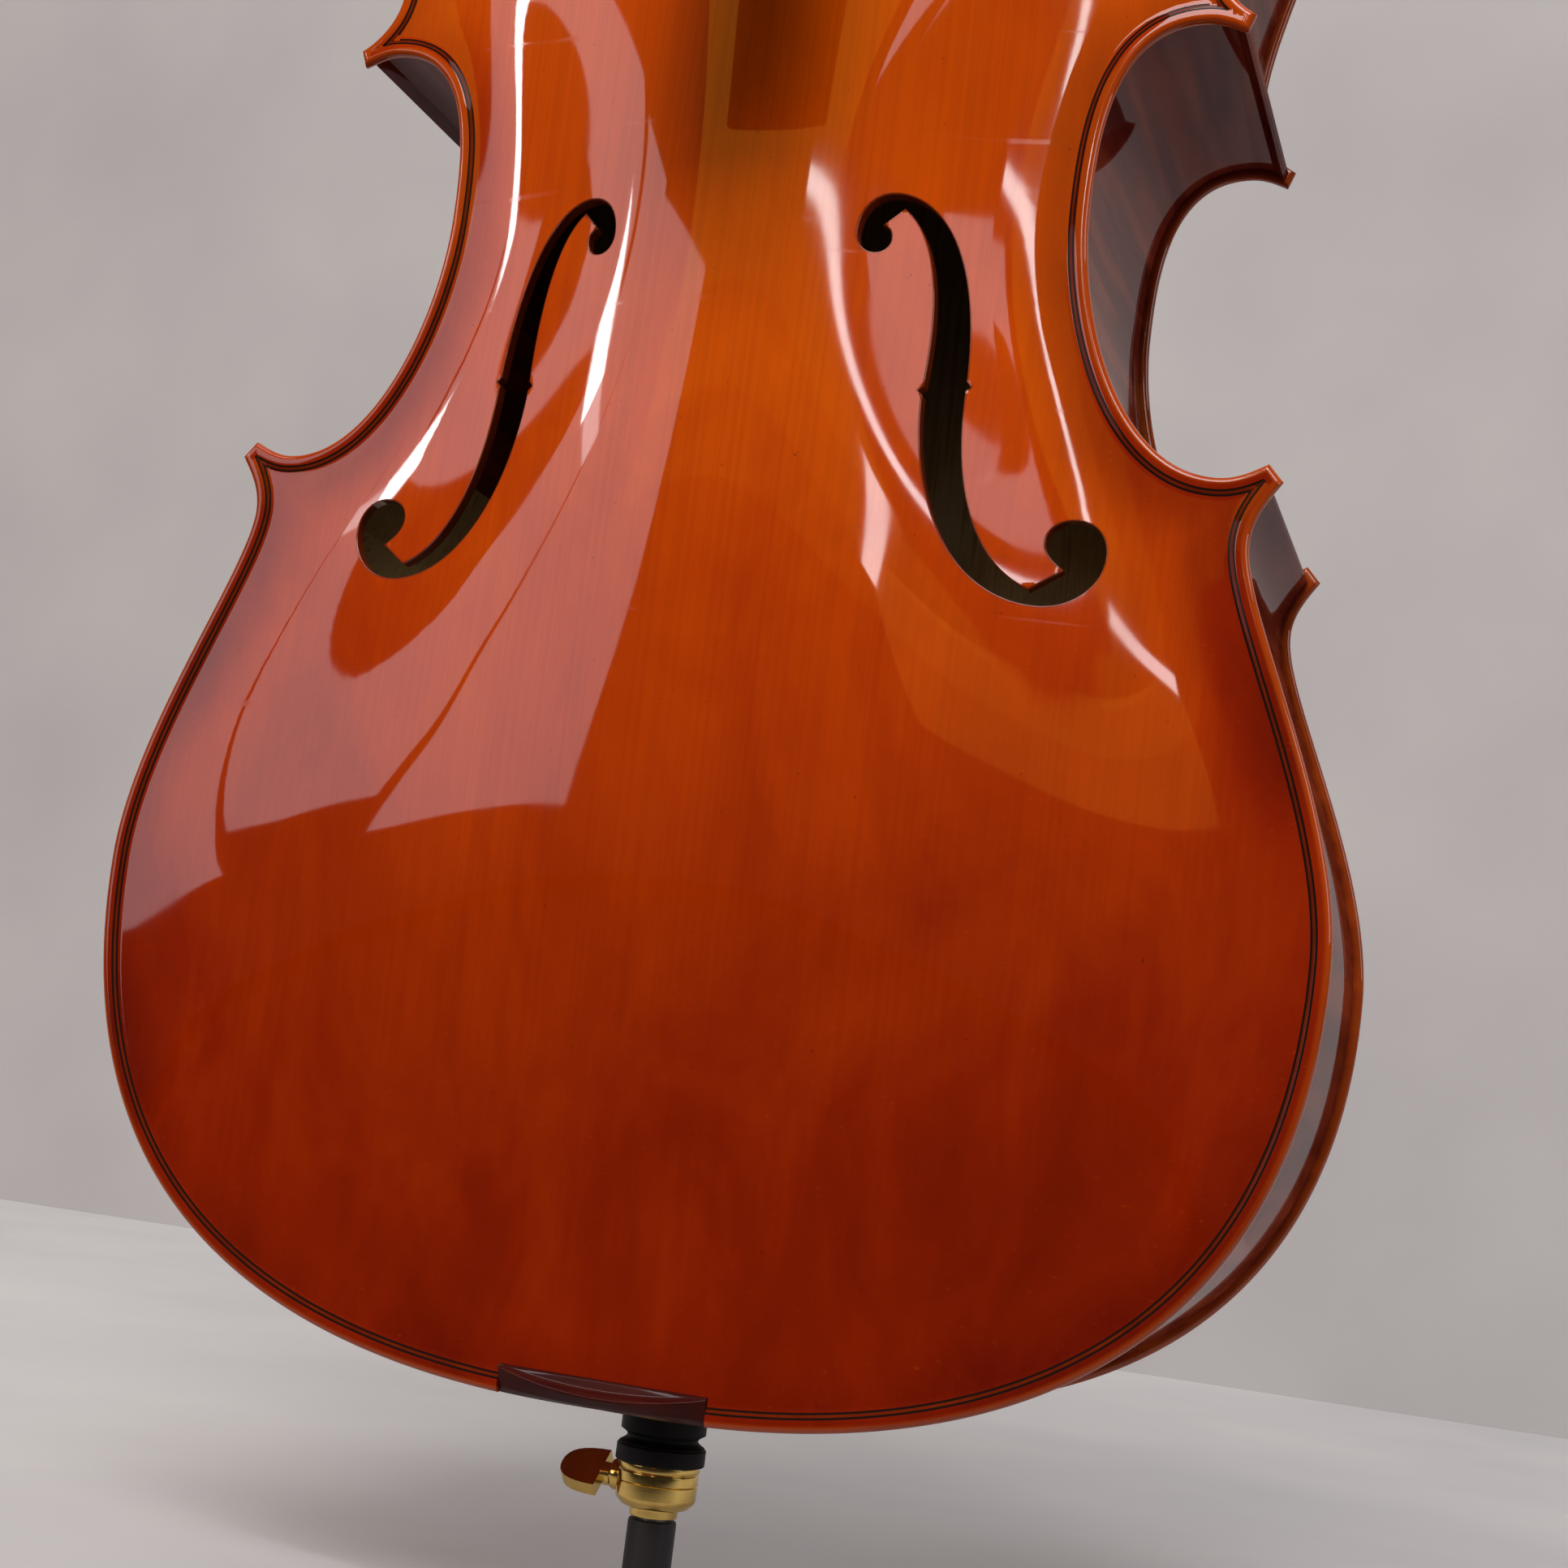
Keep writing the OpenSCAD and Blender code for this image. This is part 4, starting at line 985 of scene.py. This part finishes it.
def plug_piece():
    """The black plug, with the groove round its collar for the tail cord."""
    collar, shoulder, stem = 15.7, 15.0, 12.45
    low = soft_corners([(BORE + 0.04, -22), (collar, -22), (collar, -16.4)], 0.6)[:-1]
    groove = [(shoulder - 2.5 * math.sin(math.pi * i / 10), -15.7 + 0.44 * i) for i in range(11)]
    high = soft_corners([(shoulder, -11.1), (shoulder, 2.8), (stem, 3.4), (stem, 33.4), (BORE + 0.04, 33.4)])
    profile = low + [(collar, -16.6), (shoulder, -15.9)] + groove + high
    place(lathe("plug_turned", profile, 128, BODY_Z, BORE), "body", "plug", PLUG, "endpin_plug")


def ferrule_piece():
    """The brass ferrule under the plug, with its boss for the thumb screw."""
    f, neck = 14.25, 8.5
    profile = soft_corners([(BORE + 0.04, -40.5), (neck, -40.5), (neck, -37), (f - 2.6, -37), (f, -34.2),
                            (f, -29.2)], 0.9, 5)[:-1]
    profile += [(f, -29.0), (f - 0.45, -28.7), (f, -28.4)]
    profile += soft_corners([(f, -28.2), (f, -25.0), (f - 0.5, -24.6), (f + 0.15, -24.1), (f + 0.15, -22.1),
                             (BORE + 0.04, -22.1)], 0.35)
    ferrule = lathe("ferrule_turned", profile, 128, BODY_Z, BORE)
    # radius and distance out along -x
    boss = [(3.06, 12.2), (5.3, 12.2), (5.5, 12.6), (5.5, 15.6), (5.15, 16.4), (4.2, 16.75), (3.06, 16.75)]
    seg = 48
    verts = []
    for r, far in boss:
        for k in range(seg):
            a = 2 * math.pi * k / seg
            verts.append((-far, r * math.sin(a), SCREW_Z + r * math.cos(a)))
    screw_boss = new_object("screw_boss", np.array(verts) * MM, ring_faces(len(boss), seg, True), sharp=38)
    place(screw_boss, "body", "brass", BRASS)
    place(ferrule, "body", "brass", BRASS, "endpin_ferrule")


def rod_and_tip():
    """The steel rod, and the ribbed rubber tip with the hole that the rod sits in."""
    wide, rib, hole, hole_end = 8.5, 8.1, 5.02, 12.2
    outside = [(0.01, 0.0), (3.0, 0.0), (5.4, 0.5), (7.2, 1.7), (8.2, 3.6), (wide, 6.2), (wide, 8.0)]
    outside += [(rib, 8.4), (rib, 9.2), (wide, 9.6), (wide, 11.6), (rib, 12.0), (rib, 12.8)]
    outside += [(wide, 13.2), (wide, 33.2), (8.2, 33.9), (7.4, 34.0)]
    tip = lathe("rubber_tip", outside + [(hole, 34.0), (hole, hole_end), (0.01, hole_end)], 96)
    place(tip, "endpin", "rubber", RUBBER, "endpin_tip")
    profile = [(0.01, hole_end), (ROD - 0.38, hole_end), (ROD, 12.8)]
    profile += [(ROD, 20.0 + 5 * i) for i in range(92)]
    profile += [(ROD, 481.0), (ROD - 0.48, 481.9), (0.01, 481.9)]
    place(lathe("rod", profile, 64), "endpin", "rod_steel", STEEL, "endpin_rod")


plug_piece()
ferrule_piece()
rod_and_tip()

# -------- nodes kept from the frame


def finish_node(name, mat, bevel=0.0, segments=2):
    """Gives a node of the frame its material and, with a bevel in metres, softened edges."""
    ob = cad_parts[name]
    ob.data.materials.clear()
    ob.data.materials.append(mat)
    if bevel:
        soft = ob.modifiers.new("soft_edges", "BEVEL")
        soft.width = bevel
        soft.segments = segments
        soft.limit_method = "ANGLE"
        soft.angle_limit = math.radians(32)
        soft.harden_normals = False


def carve(name, voxel, above, steps):
    """Eases the sawn layers of the scroll: one skin, blurred lightly, and more above a height in metres."""
    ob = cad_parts[name]
    skin = ob.modifiers.new("one_skin", "REMESH")
    skin.mode = "VOXEL"
    skin.voxel_size = voxel
    skin.use_smooth_shade = True
    tree = bpy.data.node_groups.new("ease_scroll", "GeometryNodeTree")
    for way in ("INPUT", "OUTPUT"):
        tree.interface.new_socket("Geometry", in_out=way, socket_type="NodeSocketGeometry")
    add, link = tree.nodes.new, tree.links.new
    begin, end = add("NodeGroupInput"), add("NodeGroupOutput")
    position = add("GeometryNodeInputPosition").outputs["Position"]
    axes, high = add("ShaderNodeSeparateXYZ"), add("FunctionNodeCompare")
    high.data_type, high.operation = "FLOAT", "GREATER_THAN"
    high.inputs["B"].default_value = above
    link(position, axes.inputs[0])
    link(axes.outputs["Z"], high.inputs["A"])

    def eased(geometry, times):
        """Moves the points to the blurred positions, and returns the node that does it."""
        blur, move = add("GeometryNodeBlurAttribute"), add("GeometryNodeSetPosition")
        blur.data_type = "FLOAT_VECTOR"
        blur.inputs["Iterations"].default_value = times
        link(position, [q for q in blur.inputs if q.type == "VECTOR"][0])
        link([q for q in blur.outputs if q.type == "VECTOR"][0], move.inputs["Position"])
        link(geometry, move.inputs["Geometry"])
        return move

    whole = eased(begin.outputs[0], 2)
    scroll = eased(whole.outputs["Geometry"], steps)
    link(high.outputs["Result"], scroll.inputs["Selection"])
    link(scroll.outputs["Geometry"], end.inputs[0])
    ob.modifiers.new("ease_scroll", "NODES").node_group = tree


for node_name in list(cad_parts):
    if node_name.startswith("lining_") or "block" in node_name or node_name in ("bass_bar", "sound_post"):
        finish_node(node_name, BARE)
finish_node("neck_and_scroll", MAPLE)
carve("neck_and_scroll", 0.0011, 1.262, 16)
finish_node("fingerboard", EBONY, 0.0006, 3)
finish_node("nut", EBONY, 0.0003)
for string in "cgda":
    finish_node("peg_" + string, EBONY, 0.0006, 3)
finish_node("thumb_screw", BRASS, 0.0006, 3)
finish_node("rod_stop", STEEL, 0.0003)

# -------- stage

FLOOR_HALF, WALL_Y, WALL_TOP = 6, 1.3, 5


def plane(name, pts, mat):
    me = bpy.data.meshes.new(name)
    me.from_pydata(pts, [], [tuple(range(len(pts)))])
    ob = bpy.data.objects.new(name, me)
    scene.collection.objects.link(ob)
    ob.data.materials.append(mat)
    return ob


def stage_mat():
    """Pale wall and floor. In front of the part the floor is dark to all but the camera, as it is in
    the varnish of the photographed cello."""
    n = Nodes("stage_pale")
    c = n.noise(n.coord, 3.0, 3.0)
    pale = n.ramp(c, (0.3, (0.47, 0.46, 0.47)), (0.7, (0.54, 0.53, 0.53)))
    unseen = n.math("SUBTRACT", 1.0, n.node("ShaderNodeLightPath").outputs["Is Camera Ray"])
    front = n.times(n.range(n.axes()[1], -0.02, -0.36), unseen)
    n.feed(Base_Color=n.mix(front, pale, (0.020, 0.020, 0.021)))
    n.set(Roughness=0.85, Specular_IOR_Level=0.0)
    # the wall is only there from the front, so that the views from behind pass through it
    clear = n.node("ShaderNodeBsdfTransparent").outputs["BSDF"]
    pick = n.node("ShaderNodeMixShader")
    n.link(n.node("ShaderNodeNewGeometry").outputs["Backfacing"], pick.inputs["Fac"])
    n.link(n.bsdf.outputs["BSDF"], pick.inputs[1])
    n.link(clear, pick.inputs[2])
    n.link(pick.outputs["Shader"], n.t.nodes["Material Output"].inputs["Surface"])
    return n.mat


def room_air():
    """A dim world for the light, which the camera sees as pale grey."""
    scene.world = scene.world or bpy.data.worlds.new("room")
    scene.world.use_nodes = True
    tree = scene.world.node_tree
    air, seen = tree.nodes["Background"], tree.nodes.new("ShaderNodeBackground")
    air.inputs["Color"].default_value = (0.90, 0.94, 1.0, 1)
    air.inputs["Strength"].default_value = 0.035
    seen.inputs["Color"].default_value = (0.60, 0.60, 0.60, 1)
    pick, ray = tree.nodes.new("ShaderNodeMixShader"), tree.nodes.new("ShaderNodeLightPath")
    tree.links.new(ray.outputs["Is Camera Ray"], pick.inputs["Fac"])
    tree.links.new(air.outputs["Background"], pick.inputs[1])
    tree.links.new(seen.outputs["Background"], pick.inputs[2])
    tree.links.new(pick.outputs["Shader"], tree.nodes["World Output"].inputs["Surface"])


STAGE = stage_mat()
half = FLOOR_HALF
plane("floor", [(-half, -half, 0), (half, -half, 0), (half, half, 0), (-half, half, 0)], STAGE)
foot = [(x, WALL_Y, 0) for x in (-half, half)]
wall = plane("backdrop", foot + [(x, WALL_Y, WALL_TOP) for x in (half, -half)], STAGE)
wall.visible_shadow = False
room_air()

# -------- light

# the middle of the belly, from which the directions of the panels are taken
MIDDLE = Vector((0.0, -0.09, 0.45))
WINDOW, CEILING, DAY = (1.0, 0.89, 0.91), (1.0, 0.92, 0.94), (1, 0.97, 0.94)


def lamp(name, at, look, size, power, color=(1, 1, 1), size_y=None, roll=0.0):
    """Area lamp that looks at a point, unseen by the camera."""
    light = bpy.data.lights.new(name, "AREA")
    light.shape = "RECTANGLE"
    light.size = size
    light.size_y = size_y or size
    light.energy = power
    light.color = color
    ob = bpy.data.objects.new(name, light)
    scene.collection.objects.link(ob)
    ob.location = at
    aim = (Vector(look) - Vector(at)).to_track_quat("-Z", "Y")
    ob.visible_camera = False
    ob.rotation_euler = (aim @ Quaternion((0, 0, 1), math.radians(roll))).to_euler()


def glow(name, at, power, color, radius):
    """Small round lamp inside the body."""
    light = bpy.data.lights.new(name, "POINT")
    light.energy = power
    light.color = color
    light.shadow_soft_size = radius
    ob = bpy.data.objects.new(name, light)
    ob.location = at
    scene.collection.objects.link(ob)


def panel(name, az0, az1, el0, el1, radiance, color=(1, 1, 1), roll=0.0):
    """Area lamp that fills a window of directions seen from the belly, which its varnish mirrors.
    Azimuths go from -y towards +x, and all angles are in degrees."""
    dist = 5.0
    az, el = math.radians((az0 + az1) / 2), math.radians((el0 + el1) / 2)
    way = Vector((math.sin(az) * math.cos(el), -math.cos(az) * math.cos(el), math.sin(el)))
    w = 2 * dist * math.cos(el) * math.tan(math.radians((az1 - az0) / 2))
    h = 2 * dist * math.tan(math.radians((el1 - el0) / 2))
    lamp(name, MIDDLE + way * dist, MIDDLE, w, radiance * math.pi * w * h, color, h, roll)


panel("window_left", -45, -28.5, 0.0, 22.4, 2.2, WINDOW, roll=-7)
panel("window_side", -52.5, -45.2, 3.5, 24.0, 2.2, WINDOW, roll=-7)
panel("window_far", -64, -52.5, 21.7, 25.4, 2.2, WINDOW, roll=-4)
panel("tube_left", -55.5, -48.5, 20.3, 21.6, 22.0, roll=-28)
panel("tube_left_end", -50, -44, 17.9, 19.0, 5.0, roll=-28)
panel("ceiling_right", 15, 22.5, 24.2, 28.5, 2.6, CEILING)
panel("ceiling_low", 11, 15, 25.0, 27.8, 2.6, CEILING)
panel("tube_right", -1, 14, 23.3, 24.0, 14.0, roll=-6)
panel("tube_right_low", 0.6, 8.6, 17.9, 18.8, 11.0, (1.0, 0.95, 0.95), roll=48)
# the warm room that the upper belly mirrors, paler towards the top
for low, high, radiance in ((21, 36, 1.3), (17.5, 21, 0.8), (14, 17.5, 0.4)):
    panel("warm_room", -34, 9, low, high, radiance, (1.0, 0.41, 0.02))
panel("wood_right", 2, 9.5, 9, 17, 1.2, (1.0, 0.33, 0.03))
panel("tube_top", -60, 25, 54, 57, 12.0)
for side in (-1, 1):
    glow("inside", (-0.045 + side * 0.095, 0.02, BASE + 0.25), 0.006, (1.0, 0.82, 0.6), 0.02)
lamp("fill_top", (0.35, -2.9, 3.5), MIDDLE, 3.0, 140, DAY, 2.2)
lamp("fill_side", (3.4, -0.8, 1.6), MIDDLE, 1.6, 20, (0.97, 0.97, 1.0))
lamp("fill_rear", (-1.6, 3.2, 3.2), MIDDLE, 2.2, 70, (1, 0.98, 0.95))
lamp("back_wall", (0.0, 0.1, 3.4), (0, 1.2, 0.4), 2.0, 8)

# -------- camera

CAMERA_AT = Vector((0.2892, -0.7789, 0.1731))
# the way the camera looks, and which way is up in the picture
FORWARD, UPWARD = Vector((-0.3287, 0.9328, 0.1477)), Vector((-0.0677, -0.1792, 0.9815))

cam_data = bpy.data.cameras.new("camera")
cam_data.sensor_width = 36
cam_data.lens = 52.7
cam = bpy.data.objects.new("camera", cam_data)
scene.collection.objects.link(cam)
forward = FORWARD.normalized()
right = forward.cross(UPWARD).normalized()
up = right.cross(forward).normalized()
turn = Matrix((right, up, -forward)).transposed()
cam.matrix_world = Matrix.Translation(CAMERA_AT) @ turn.to_4x4()
scene.camera = cam
scene.view_settings.view_transform = "Standard"
